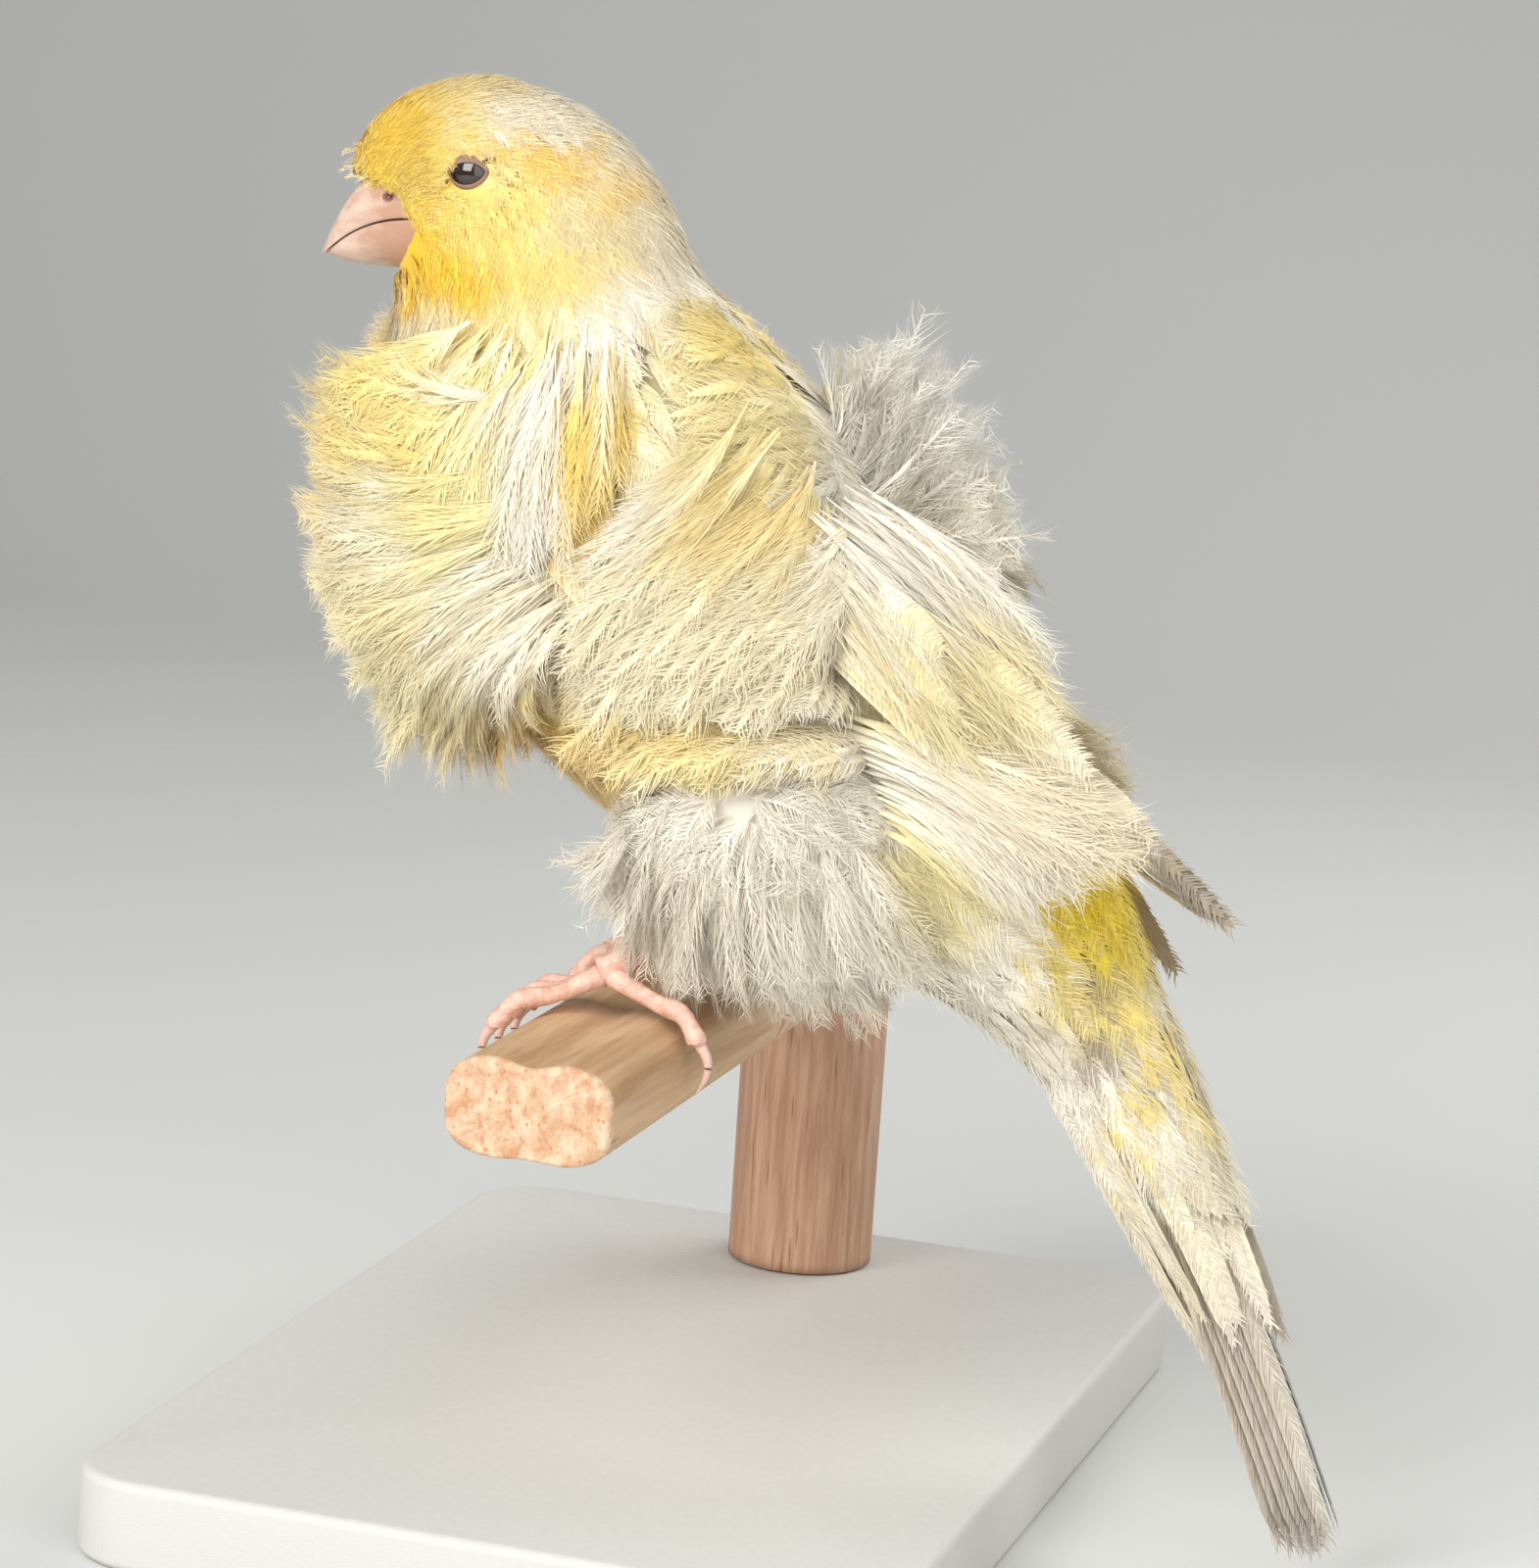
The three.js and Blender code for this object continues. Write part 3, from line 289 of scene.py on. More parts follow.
# Post. A turned beech rod with fine darker flecks along its grain, hollowed at the top to take the
# perch.
def make_grain_group():
    """Long wood grain with short darker flecks: colours and a height from a place and its axis."""
    group, start, end = new_group(
        "wood_grain", {"Place": "Vector", "Light": "Color", "Dark": "Color", "Fleck": "Color"},
        {"Color": "Color", "Height": "Float"})
    given = start.outputs
    place = given["Place"]
    bands = add_node(group, "TexNoise", Vector=place, Scale=1.0, Detail=4.0, Roughness=0.6, Distortion=0.4)
    fine = add_node(group, "TexNoise", Vector=place, Scale=3.2, Detail=5.0, Roughness=0.7)
    flecks = add_node(group, "TexVoronoi", Vector=place, Scale=1.5, Randomness=1.0)
    spread = add_node(group, "MapRange", bands.outputs["Fac"], From_Min=0.36, From_Max=0.64)
    shade = add_node(group, "MapRange", fine.outputs["Fac"],
                     From_Min=0.3, From_Max=0.7, To_Min=0.78, To_Max=1.1)
    fleck_mask = add_node(group, "MapRange", flecks.outputs["Distance"],
                          From_Min=0.10, From_Max=0.22, To_Min=1.0, To_Max=0.0)
    amount = add_node(group, "Math", fleck_mask.outputs["Result"], 0.75, operation="MULTIPLY")
    tint = mixed(group, spread.outputs["Result"], given["Light"], given["Dark"])
    streaked = mixed(group, 0.55, tint, shade.outputs["Result"], "MULTIPLY")
    flecked = mixed(group, amount.outputs["Value"], streaked, given["Fleck"])
    feed(group, end.inputs["Color"], flecked)
    feed(group, end.inputs["Height"], fine.outputs["Fac"])
    return group


grain_group = make_grain_group()


def wood_material(name, light, dark, fleck, stretch, rough=0.6, strength=0.35):
    """Wood whose grain is drawn out by stretch, given in cells per metre along x, y and z."""
    material, tree, shader = new_material(name, rough)
    place = add_node(tree, "TexCoord").outputs["Object"]
    scaled = add_node(tree, "Mapping", Vector=place, Scale=stretch)
    grain = add_node(tree, "Group", node_tree=grain_group, Place=scaled.outputs["Vector"],
                     Light=light, Dark=dark, Fleck=fleck)
    feed(tree, shader.inputs["Base Color"], grain.outputs["Color"])
    bumped(tree, shader, grain.outputs["Height"], strength, 0.0002)
    return material


post_material = wood_material("beech_post", colour(204, 164, 134), colour(176, 132, 104), colour(140, 96, 70),
                              (900, 900, 60), rough=0.5)
post_low, post_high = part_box("stand_post")
POST_RADIUS = (post_high.x - post_low.x) / 2 / MM
post_y = ((post_low.y + post_high.y) / 2 - ORIGIN[1]) / MM
post_bottom = (post_low.z - ORIGIN[2]) / MM
PERCH_WIDTH, PERCH_HEIGHT = 17.0, 10.2
PERCH_GROOVE, GROOVE_WIDTH = 0.9, 2.6
PERCH_SQUARENESS = 0.62


def perch_outline(count):
    """The perch's section: a flat oval with a shallow groove along its top and a faint one below."""
    angle = np.linspace(0, 2 * np.pi, count, endpoint=False)
    x = PERCH_WIDTH / 2 * np.sign(np.cos(angle)) * np.abs(np.cos(angle)) ** PERCH_SQUARENESS
    z = PERCH_HEIGHT / 2 * np.sign(np.sin(angle)) * np.abs(np.sin(angle)) ** PERCH_SQUARENESS
    dip = PERCH_GROOVE * np.exp(-((x / GROOVE_WIDTH) ** 2)) * np.where(z > 0, 1, -0.4)
    return x, z - dip - PERCH_HEIGHT / 2


def perch_underside(x):
    """Height of the perch's lower face above a place across it."""
    outline_x, outline_z = perch_outline(720)
    lower = outline_z < -PERCH_HEIGHT / 2
    order = np.argsort(outline_x[lower])
    return np.interp(x, outline_x[lower][order], outline_z[lower][order])


POST_SIDES = 96
POST_SHOULDER = -18
SEAT_GAP = 0.3
post_round = [(POST_RADIUS * math.cos(a), POST_RADIUS * math.sin(a))
              for a in np.linspace(0, 2 * np.pi, POST_SIDES, endpoint=False)]
post_rings = [[(x, post_y + y, z) for x, y in post_round]
              for z in np.linspace(post_bottom, POST_SHOULDER, 24)]
for shrink in (1.0, 0.97, 0.8, 0.6, 0.4, 0.2, 0.05):
    post_rings.append([(shrink * x, post_y + shrink * y, perch_underside(shrink * x) - SEAT_GAP)
                       for x, y in post_round])
post_piece = mesh_piece("display_post", *capped(post_rings), post_material)
dress(post_piece, "post_wood", "stand_post")


# Perch. A short length of light brown turned wood with a groove along its top, sawn off square and
# left rough at its ends.
perch_low, perch_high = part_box("perch")
perch_near = (perch_low.y - ORIGIN[1]) / MM
perch_far = (perch_high.y - ORIGIN[1]) / MM
PERCH_SIDES = 144
SAWN_DEPTH = 0.7
outline_x, outline_z = perch_outline(PERCH_SIDES)
perch_rng = np.random.default_rng(11)


def perch_ring(y, shrink, rough=0.0):
    """The perch's outline at a place along it, drawn towards its middle, with its y roughened."""
    middle_z = -PERCH_HEIGHT / 2
    saw = rough * shrink * perch_rng.normal(size=PERCH_SIDES)
    return np.stack([outline_x * shrink, y + saw, middle_z + (outline_z - middle_z) * shrink], 1)


perch_rings = [perch_ring(perch_near + 0.12, s, 0.06) for s in (0.12, 0.3, 0.5, 0.66, 0.8, 0.9, 0.955)]
perch_rings += [perch_ring(perch_near + 0.45, 0.99, 0.05), perch_ring(perch_near + 0.9, 1.0)]
perch_rings += [perch_ring(y, 1.0) for y in np.linspace(perch_near + 3, perch_far - 3, 30)]
perch_rings += [perch_ring(perch_far - 0.5, 0.99), perch_ring(perch_far, 0.93), perch_ring(perch_far, 0.4)]
perch_side_material = wood_material("perch_wood", colour(220, 186, 146), colour(190, 150, 108),
                                    colour(146, 98, 62), (420, 28, 420), rough=0.55)
end_material = wood_material("perch_sawn_end", colour(236, 208, 176), colour(208, 156, 116),
                             colour(204, 122, 66), (700, 340, 520), rough=0.9, strength=1.0)
perch_piece = mesh_piece("perch_length", *capped(perch_rings), perch_side_material)
perch_piece.data.materials.append(end_material)
near_limit = (perch_near + SAWN_DEPTH) * MM + ORIGIN[1]
far_limit = perch_high.y - 0.2 * MM
for polygon in perch_piece.data.polygons:
    if polygon.center.y < near_limit or polygon.center.y > far_limit:
        polygon.material_index = 1
dress(perch_piece, "perch_wood", "perch")


# Body shape. The smooth form that carries the plumage runs from the bill's base over the head and
# back to the root of the tail, as sections across the body.
STATIONS = [
    ((-34.6, 71.9), (-37.3, 78.2), 1.8),
    ((-33.0, 70.5), (-37.2, 81.2), 2.8),
    ((-32.1, 69.5), (-35.2, 84.9), 3.8),
    ((-31.6, 68.6), (-30.8, 88.0), 5.2),
    ((-31.4, 67.6), (-23.8, 89.7), 8.0),
    ((-31.5, 66.4), (-15.8, 88.1), 9.4),
    ((-31.9, 64.7), (-9.4, 84.4), 10.3),
    ((-32.3, 62.0), (-4.6, 78.6), 11.3),
    ((-32.3, 57.8), (-1.0, 71.8), 13.0),
    ((-31.1, 51.4), (6.0, 65.6), 15.4),
    ((-28.0, 43.5), (14.0, 59.0), 17.4),
    ((-23.5, 34.5), (22.0, 50.0), 18.4),
    ((-16.5, 26.5), (29.5, 40.5), 17.6),
    ((-7.0, 19.5), (36.0, 31.0), 15.8),
    ((4.0, 13.5), (41.5, 23.0), 13.4),
    ((15.5, 8.5), (45.8, 16.5), 10.8),
    ((26.5, 4.5), (48.8, 11.0), 8.4),
    ((34.5, 1.2), (51.0, 6.2), 7.0),
    ((40.2, -3.0), (53.4, 1.6), 6.4),
    ((44.9, -7.6), (55.9, -3.4), 6.2),
    ((49.9, -12.6), (58.8, -9.2), 5.8),
]
LAST = len(STATIONS) - 1
FRONT = np.array([[f[0], 0, f[1]] for f, b, w in STATIONS])
BACK = np.array([[b[0], 0, b[1]] for f, b, w in STATIONS])
HALF = np.array([[w] for f, b, w in STATIONS])


def line(points, t):
    """Places at shares t of an even curve through points."""
    points = np.asarray(points, float)
    count = len(points)
    if count == 2:
        t = np.clip(t, 0, 1)[..., None]
        return points[0] * (1 - t) + points[1] * t
    padded = np.vstack([2 * points[:1] - points[1:2], points, 2 * points[-1:] - points[-2:-1]])
    x = np.clip(t, 0, 1) * (count - 1)
    i = np.minimum(x.astype(int), count - 2)
    w = (x - i)[..., None]
    a, b, c, d = padded[i], padded[i + 1], padded[i + 2], padded[i + 3]
    return 0.5 * (2 * b + (c - a) * w + (2 * a - 5 * b + 4 * c - d) * w ** 2
                  + (3 * b - a - 3 * c + d) * w ** 3)


def surface(s, turn):
    """The smooth body: s counts sections, turn runs from 0 at the belly to 180 at the back, and
    beyond that up the right side."""
    s = np.asarray(s, float)
    front, rear, half = (line(p, s / LAST) for p in (FRONT, BACK, HALF))
    angle = np.radians(turn)[..., None]
    point = front + (rear - front) * (1 - np.cos(angle)) / 2
    point[..., 1] = (-half * np.sin(angle))[..., 0]
    return point


def unit(vectors):
    """Vectors brought to a length of one."""
    return vectors / (np.linalg.norm(vectors, axis=-1, keepdims=True) + 1e-12)


def steps_at(s, turn):
    """Short steps over the body, a tenth of a section towards the tail and two degrees round."""
    return surface(s + 0.05, turn) - surface(s - 0.05, turn), surface(s, turn + 1) - surface(s, turn - 1)


def body_frame(s, turn):
    """The place, outward normal and direction along the body, towards the tail."""
    along, around = steps_at(s, turn)
    return surface(s, turn), unit(np.cross(along, around)), unit(along)


def station_at(x, z):
    """The section that passes through (x, z) in the side view."""
    low = np.zeros(np.shape(x))
    high = low + LAST
    for _ in range(16):
        middle = (low + high) / 2
        front, rear = line(FRONT, middle / LAST), line(BACK, middle / LAST)
        run, rise = rear[..., 0] - front[..., 0], rear[..., 2] - front[..., 2]
        past = run * (z - front[..., 2]) - rise * (x - front[..., 0]) > 0
        high = np.where(past, middle, high)
        low = np.where(past, low, middle)
    return (low + high) / 2


def turn_at(x, z, s):
    """How far round the section s the place (x, z) of the side view lies, on the left side."""
    front, rear = line(FRONT, s / LAST), line(BACK, s / LAST)
    chord = rear - front
    share = (x - front[..., 0]) * chord[..., 0] + (z - front[..., 2]) * chord[..., 2]
    share = share / (chord ** 2).sum(-1)
    return np.degrees(np.arccos(np.clip(1 - 2 * share, -1, 1)))


def outward(points):
    """Directions away from the body's middle line."""
    s = station_at(points[..., 0], points[..., 2])
    return unit(points - (line(FRONT, s / LAST) + line(BACK, s / LAST)) / 2)


# Plumage colours. A white bird washed with yellow: golden on the forehead, throat and rump, yellow
# on the breast and along the frills' hems, grey-beige on the quills. Skin and feathers share them.
WHITE = colour(250, 243, 226)
FROST = colour(248, 242, 228)
WANDER = 9.0
PATCHES = [
    ("jabot_rim", (-36, 6, 50), (9, 15, 18), colour(248, 222, 148), 0.85),
    ("jabot_middle", (-19, 16, 50), (7, 9, 9), colour(255, 240, 170), 0.85),
    ("upper_breast", (-27, 12, 57), (9, 11, 8), colour(254, 232, 142), 0.85),
    ("lower_jabot", (-24, 12, 35), (14, 11, 12), colour(250, 234, 172), 0.8),
    ("golden_band", (-3.5, 18, 52), (4.5, 8, 9), colour(252, 216, 90), 0.85),
    ("shoulder", (8, 13, 60), (13, 10, 9), colour(250, 230, 146), 0.75),
    ("ridge", (6, 6, 66.5), (8, 7, 4.0), colour(250, 226, 120), 0.75),
    ("mantle_fringe", (1.0, 15, 60), (3.2, 6, 9), colour(246, 236, 208), 0.7),
    ("low_shoulder", (12.5, 19, 49), (8, 8, 5), colour(244, 216, 112), 0.7),
    ("flank", (6, 21, 40), (20, 10, 9), colour(248, 234, 190), 0.75),
    ("hem", (3, 18, 29.5), (20, 12, 4.0), colour(250, 222, 122), 0.75),
    ("lower_breast", (-7, 8, 25), (12, 14, 6.5), colour(238, 200, 100), 0.85),
    ("wing_front", (32, 14, 36), (10, 9, 8), colour(250, 232, 158), 0.7),
    ("wing_middle", (45, 12, 28), (12, 9, 9), colour(240, 224, 186), 0.75),
    ("wing_end", (59, 9, 14), (12, 12, 11), colour(140, 121, 98), 1.0),
    ("thigh_edge", (32, 12, 17), (5.5, 8, 8), colour(248, 232, 160), 0.75),
    ("crown", (-14, 0, 89), (14, 9, 6.5), colour(234, 222, 192), 0.85),
    ("front_crown", (-25, 0, 90), (6, 8, 4.5), colour(234, 208, 130), 0.8),
    ("nape", (-4, 4, 80), (7, 9, 9), colour(236, 222, 188), 0.75),
    ("neck_wash", (-15, 12, 62), (8, 6, 7), colour(252, 228, 134), 0.75),
    ("face", (-29, 5, 79.5), (9, 9, 9), colour(248, 214, 84), 0.95),
    ("cheek", (-16.5, 9, 74.5), (11.5, 9, 8), colour(252, 222, 104), 0.85),
    ("ear", (-9.5, 9, 77), (4.5, 6, 4), colour(240, 226, 184), 0.7),
    ("throat", (-24, 6, 70.5), (9.5, 9, 5.2), colour(250, 208, 44), 0.95),
    ("forehead", (-33, 0, 84.5), (9, 9, 6.0), colour(246, 206, 66), 0.95),
    ("temple_streak", (-14, 8, 83.0), (9, 6, 2.1), colour(246, 206, 84), 0.85),
    ("nape_streak", (-5, 8, 80.6), (5, 6, 2.4), colour(244, 206, 90), 0.8),
    ("lore", (-26.2, 7, 78.6), (1.8, 3, 1.3), colour(176, 120, 62), 0.7),
    ("gape", (-28.4, 4.6, 74.6), (1.6, 2.4, 1.7), colour(206, 140, 104), 0.8),
    ("rump", (46, 6, 14.5), (7, 9, 7.5), colour(255, 226, 20), 1.0),
    ("low_rump", (47.5, 5, 7.5), (6, 7, 6), colour(250, 226, 96), 0.75),
    ("far_wing_end", (52, 10, 7), (9, 4.2, 12), colour(150, 132, 108), 1.0),
    ("tail_streak", (53, 3, -5), (5, 3.5, 10), colour(248, 222, 110), 0.85),
    ("tail_cream", (58, 4, -19), (7, 6, 12), colour(240, 228, 196), 0.7),
    ("tail_low", (65, 4, -33), (8, 7, 12), colour(226, 214, 196), 0.85),
    ("tail_end", (72, 4, -47), (7, 7, 8), colour(196, 184, 170), 0.9),
    ("back_tuft", (24, 4, 61), (11, 12, 8), colour(250, 246, 238), 0.7),
]


def make_markings_group():
    """The plumage's colour and a barb height from a place on the body and a place on the feather."""
    group, start, end = new_group("plumage_markings", {"Place": "Vector", "Vane": "Vector"},
                                  {"Color": "Color", "Height": "Float"})
    given = start.outputs
    wander = add_node(group, "TexNoise", Vector=given["Place"], Scale=0.22, Detail=3.0)
    centred = add_node(group, "VectorMath", wander.outputs["Color"], (0.5, 0.5, 0.5), operation="SUBTRACT")
    pushed = add_node(group, "VectorMath", centred.outputs[0], (WANDER, WANDER, WANDER), given["Place"],
                      operation="MULTIPLY_ADD")
    parts = add_node(group, "SeparateXYZ", pushed.outputs[0])
    from_middle = add_node(group, "Math", parts.outputs["Y"], operation="ABSOLUTE")
    folded = add_node(group, "CombineXYZ", parts.outputs["X"], from_middle.outputs[0], parts.outputs["Z"])
    shade = WHITE
    for name, centre, radii, tint, strength in PATCHES:
        scaled = add_node(group, "VectorMath", folded.outputs[0], [1 / r for r in radii],
                          [-c / r for c, r in zip(centre, radii)], operation="MULTIPLY_ADD", label=name)
        far = add_node(group, "VectorMath", scaled.outputs[0], operation="LENGTH")
        mask = add_node(group, "MapRange", far.outputs["Value"], interpolation_type="SMOOTHSTEP",
                        From_Min=0.6, From_Max=1.3, To_Min=strength, To_Max=0.0)
        shade = mixed(group, mask.outputs["Result"], shade, tint)
    vane = add_node(group, "SeparateXYZ", given["Vane"])
    tips = add_node(group, "MapRange", vane.outputs["Y"], From_Min=0.6, From_Max=1.0, To_Min=0.0, To_Max=0.22)
    spaced = add_node(group, "VectorMath", given["Vane"], (2.6, 0.5, 60.0), operation="MULTIPLY")
    stripes = add_node(group, "TexNoise", Vector=spaced.outputs[0], Scale=1.0, Detail=2.0)
    banded = add_node(group, "MapRange", stripes.outputs["Fac"],
                      From_Min=0.34, From_Max=0.66, To_Min=0.76, To_Max=1.06)
    value = add_node(group, "MapRange", vane.outputs["Z"], To_Min=0.9, To_Max=1.05)
    both = add_node(group, "Math", banded.outputs["Result"], value.outputs["Result"], operation="MULTIPLY")
    frosted = mixed(group, tips.outputs["Result"], shade, FROST)
    varied = mixed(group, 1.0, frosted, both.outputs["Value"], "MULTIPLY")
    feed(group, end.inputs["Color"], varied)
    feed(group, end.inputs["Height"], stripes.outputs["Fac"])
    return group


markings_group = make_markings_group()


def plumage_material(name, rough):
    """Feather matter coloured by the markings, with a soft sheen."""
    material, tree, shader = new_material(name, rough)
    shader.inputs["Specular IOR Level"].default_value = 0.3
    shader.inputs["Sheen Weight"].default_value = 0.35
    shader.inputs["Sheen Roughness"].default_value = 0.4
    place = add_node(tree, "Attribute", attribute_name="place").outputs["Vector"]
    vane = add_node(tree, "Attribute", attribute_name="vane").outputs["Vector"]
    marks = add_node(tree, "Group", node_tree=markings_group, Place=place, Vane=vane)
    feed(tree, shader.inputs["Base Color"], marks.outputs["Color"])
    bumped(tree, shader, marks.outputs["Height"], 0.7, 0.00012)
    return material


coat_material = plumage_material("feather", 0.62)


def give_places(mesh, name, values):
    """Stores three numbers for each point of a mesh under a name."""
    attribute = mesh.attributes.new(name, "FLOAT_VECTOR", "POINT")
    attribute.data.foreach_set("vector", values.astype(np.float32).ravel())


def fast_mesh(name, points, triangles, material, place, vane, uv):
    """A mesh object from arrays, with the values that colour it and its map for baking."""
    mesh = bpy.data.meshes.new(name)
    mesh.vertices.add(len(points))
    mesh.vertices.foreach_set("co", to_row(points).astype(np.float32).ravel())
    mesh.loops.add(triangles.size)
    mesh.loops.foreach_set("vertex_index", triangles.astype(np.int32).ravel())
    mesh.polygons.add(len(triangles))
    mesh.polygons.foreach_set("loop_start", np.arange(0, triangles.size, 3, dtype=np.int32))
    mesh.polygons.foreach_set("use_smooth", np.ones(len(triangles), bool))
    mesh.update(calc_edges=True)
    give_places(mesh, "place", place)
    give_places(mesh, "vane", vane)
    layer = mesh.uv_layers.new(name="OFBake")
    layer.uv.foreach_set("vector", uv[triangles.ravel()].astype(np.float32).ravel())
    mesh.materials.append(material)
    piece = bpy.data.objects.new(name, mesh)
    bpy.context.scene.collection.objects.link(piece)
    return piece


# Skin. One closed hide under the plumage, drawn in from the smooth form by the depth of the coat,
# pinched in where the bill comes out, with the muscle of each thigh as a bulge of its own.
SKIN_DEPTH = 1.1
HEAD_SKIN_DEPTH = 0.45
FACE_PINCH = 0.5
FACE_EDGE = np.array([(-45, 78.6), (-36.4, 78.6), (-33.6, 78.0), (-31.6, 77.7), (-30.2, 76.8), (-28.6, 75.9),
                      (-28.0, 74.3), (-29.6, 71.6), (-31.8, 70.1), (-45, 69.6)])


def inside_outline(x, z, outline):
    """Whether places of the side view lie within a closed outline."""
    inside = np.zeros(np.shape(x), bool)
    for (x0, z0), (x1, z1) in zip(outline, np.roll(outline, -1, 0)):
        crosses = (z0 > z) != (z1 > z)
        inside ^= crosses & (x < (x1 - x0) * (z - z0) / (z1 - z0 + 1e-9) + x0)
    return inside


SKIN_STEPS, SKIN_SIDES = 200, 96
skin_s = np.repeat(np.linspace(0.02, LAST - 0.02, SKIN_STEPS)[:, None], SKIN_SIDES, 1)
skin_turn = np.repeat(np.linspace(0, 360, SKIN_SIDES, endpoint=False)[None], SKIN_STEPS, 0)
skin_place, skin_normal, _ = body_frame(skin_s, skin_turn)
skin_depth = np.interp(skin_s, [4, 9], [HEAD_SKIN_DEPTH, SKIN_DEPTH])[..., None]
skin_rings = skin_place - skin_depth * skin_normal
in_face = inside_outline(skin_rings[..., 0], skin_rings[..., 2], FACE_EDGE)
skin_rings[..., 1] *= np.where(in_face, FACE_PINCH, 1)


def hide(name, rings, uv):
    """A closed piece of skin over rings of places."""
    points, faces = capped(rings)
    triangles = []
    for face in faces:
        triangles.append(face[:3])
        if len(face) == 4:
            triangles.append((face[0], face[2], face[3]))
    vane = np.tile([0.0, 0.3, 0.4], (len(points), 1))
    return fast_mesh(name, points, np.array(triangles), coat_material, points, vane, uv)


skin_uv = np.stack([skin_turn.ravel() / 360, skin_s.ravel() / LAST], 1)
skin_piece = hide("skin", skin_rings, np.concatenate([skin_uv, [[0.5, 0], [0.5, 1]]]))
dress(skin_piece, "cream_plumage",
      "head", "neck", "mantle", "flank_left", "flank_right", "breast", "belly", "rump")
SIDES = {"left": -1, "right": 1}
THIGH_CENTRE = np.array([13, 12.5, 19])
THIGH_RADII = np.array([12.5, 7.5, 10]) - SKIN_DEPTH
rise, spin = np.meshgrid(np.linspace(0.04, np.pi - 0.04, 40),
                         np.linspace(0, 2 * np.pi, 48, endpoint=False), indexing="ij")
ball = np.stack([np.sin(rise) * np.cos(spin), np.sin(rise) * np.sin(spin), np.cos(rise)], -1)
for side_name, side in SIDES.items():
    thigh_uv = np.stack([0.2 + 0.1 * side + 0.08 * spin.ravel(), 0.6 + 0.04 * rise.ravel()], 1)
    thigh_uv = np.concatenate([thigh_uv, thigh_uv[:1], thigh_uv[-1:]])
    thigh_rings = THIGH_CENTRE * [1, side, 1] + ball * THIGH_RADII
    dress(hide("thigh_skin_" + side_name, thigh_rings, thigh_uv), "cream_plumage", "thigh_" + side_name)


# Feathers. Each one is a curved shaft with a narrow closed vane and loose barbs on both sides, every
# barb a thin tapered strip that leans forward and ends by the feather's tip.
def bezier(control, u):
    """Places and directions along cubic curves; past its end each goes on straight."""
    inside = np.clip(u, 0, 1)[..., None]
    a, b, c, d = (control[:, k, None, None] for k in range(4))
    rest = 1 - inside
    point = a * rest ** 3 + 3 * b * inside * rest ** 2 + 3 * c * inside ** 2 * rest + d * inside ** 3
    slope = 3 * ((b - a) * rest ** 2 + 2 * (c - b) * inside * rest + (d - c) * inside ** 2)
    return point + slope * np.maximum(u - 1, 0)[..., None], unit(slope)


def ribbons(path, side, width):
    """Tapered strips along paths (strip, step, xyz), ending in a point: places and triangles."""
    strips, steps, _ = path.shape
    body = path[:, :-1]
    offset = side[:, :-1] * width[:, :-1, None] / 2
    points = np.concatenate([np.stack([body - offset, body + offset], 2).reshape(strips, -1, 3),
                             path[:, -1:]], 1)
    pattern = []
    for k in range(steps - 2):
        pattern += [(2 * k, 2 * k + 1, 2 * k + 3), (2 * k, 2 * k + 3, 2 * k + 2)]
    pattern.append((2 * steps - 4, 2 * steps - 3, 2 * steps - 2))
    return points.reshape(-1, 3), fan_triangles(strips, 2 * steps - 1, pattern)


def doubled(values):
    """Values along strips, given to both edges of each step and once to the pointed end."""
    return np.concatenate([np.repeat(values[..., :-1], 2, -1), values[..., -1:]], -1)


def root_uv(place):
    """Where a place lies on the unwrap of the skin's own shape."""
    s = station_at(place[:, 0], place[:, 2])
    turn = turn_at(place[:, 0], place[:, 2], s)
    turn = np.where(place[:, 1] < 0, turn, 360 - turn)
    return np.stack([turn / 360, s / LAST], 1)


def fan_triangles(count, size, pattern):
    """The triangles of one strip or sheet, repeated for count of them with size points each."""
    return (np.arange(count)[:, None, None] * size + np.array(pattern)[None]).reshape(-1, 3)


def frame_at(control, face, u):
    """Places along feathers, with the directions up from the body and across the feather there."""
    point, tangent = bezier(control, u)
    out = face[:, None, None, :]
    up = unit(out - (out * tangent).sum(-1, keepdims=True) * tangent)
    return point, up, np.cross(tangent, up)


PATCH = 0.003
LAST_BARB, TIP_SHARE = 0.96, 0.98
BARB_CURVE, DRIFT_CURVE = 1.5, 1.6


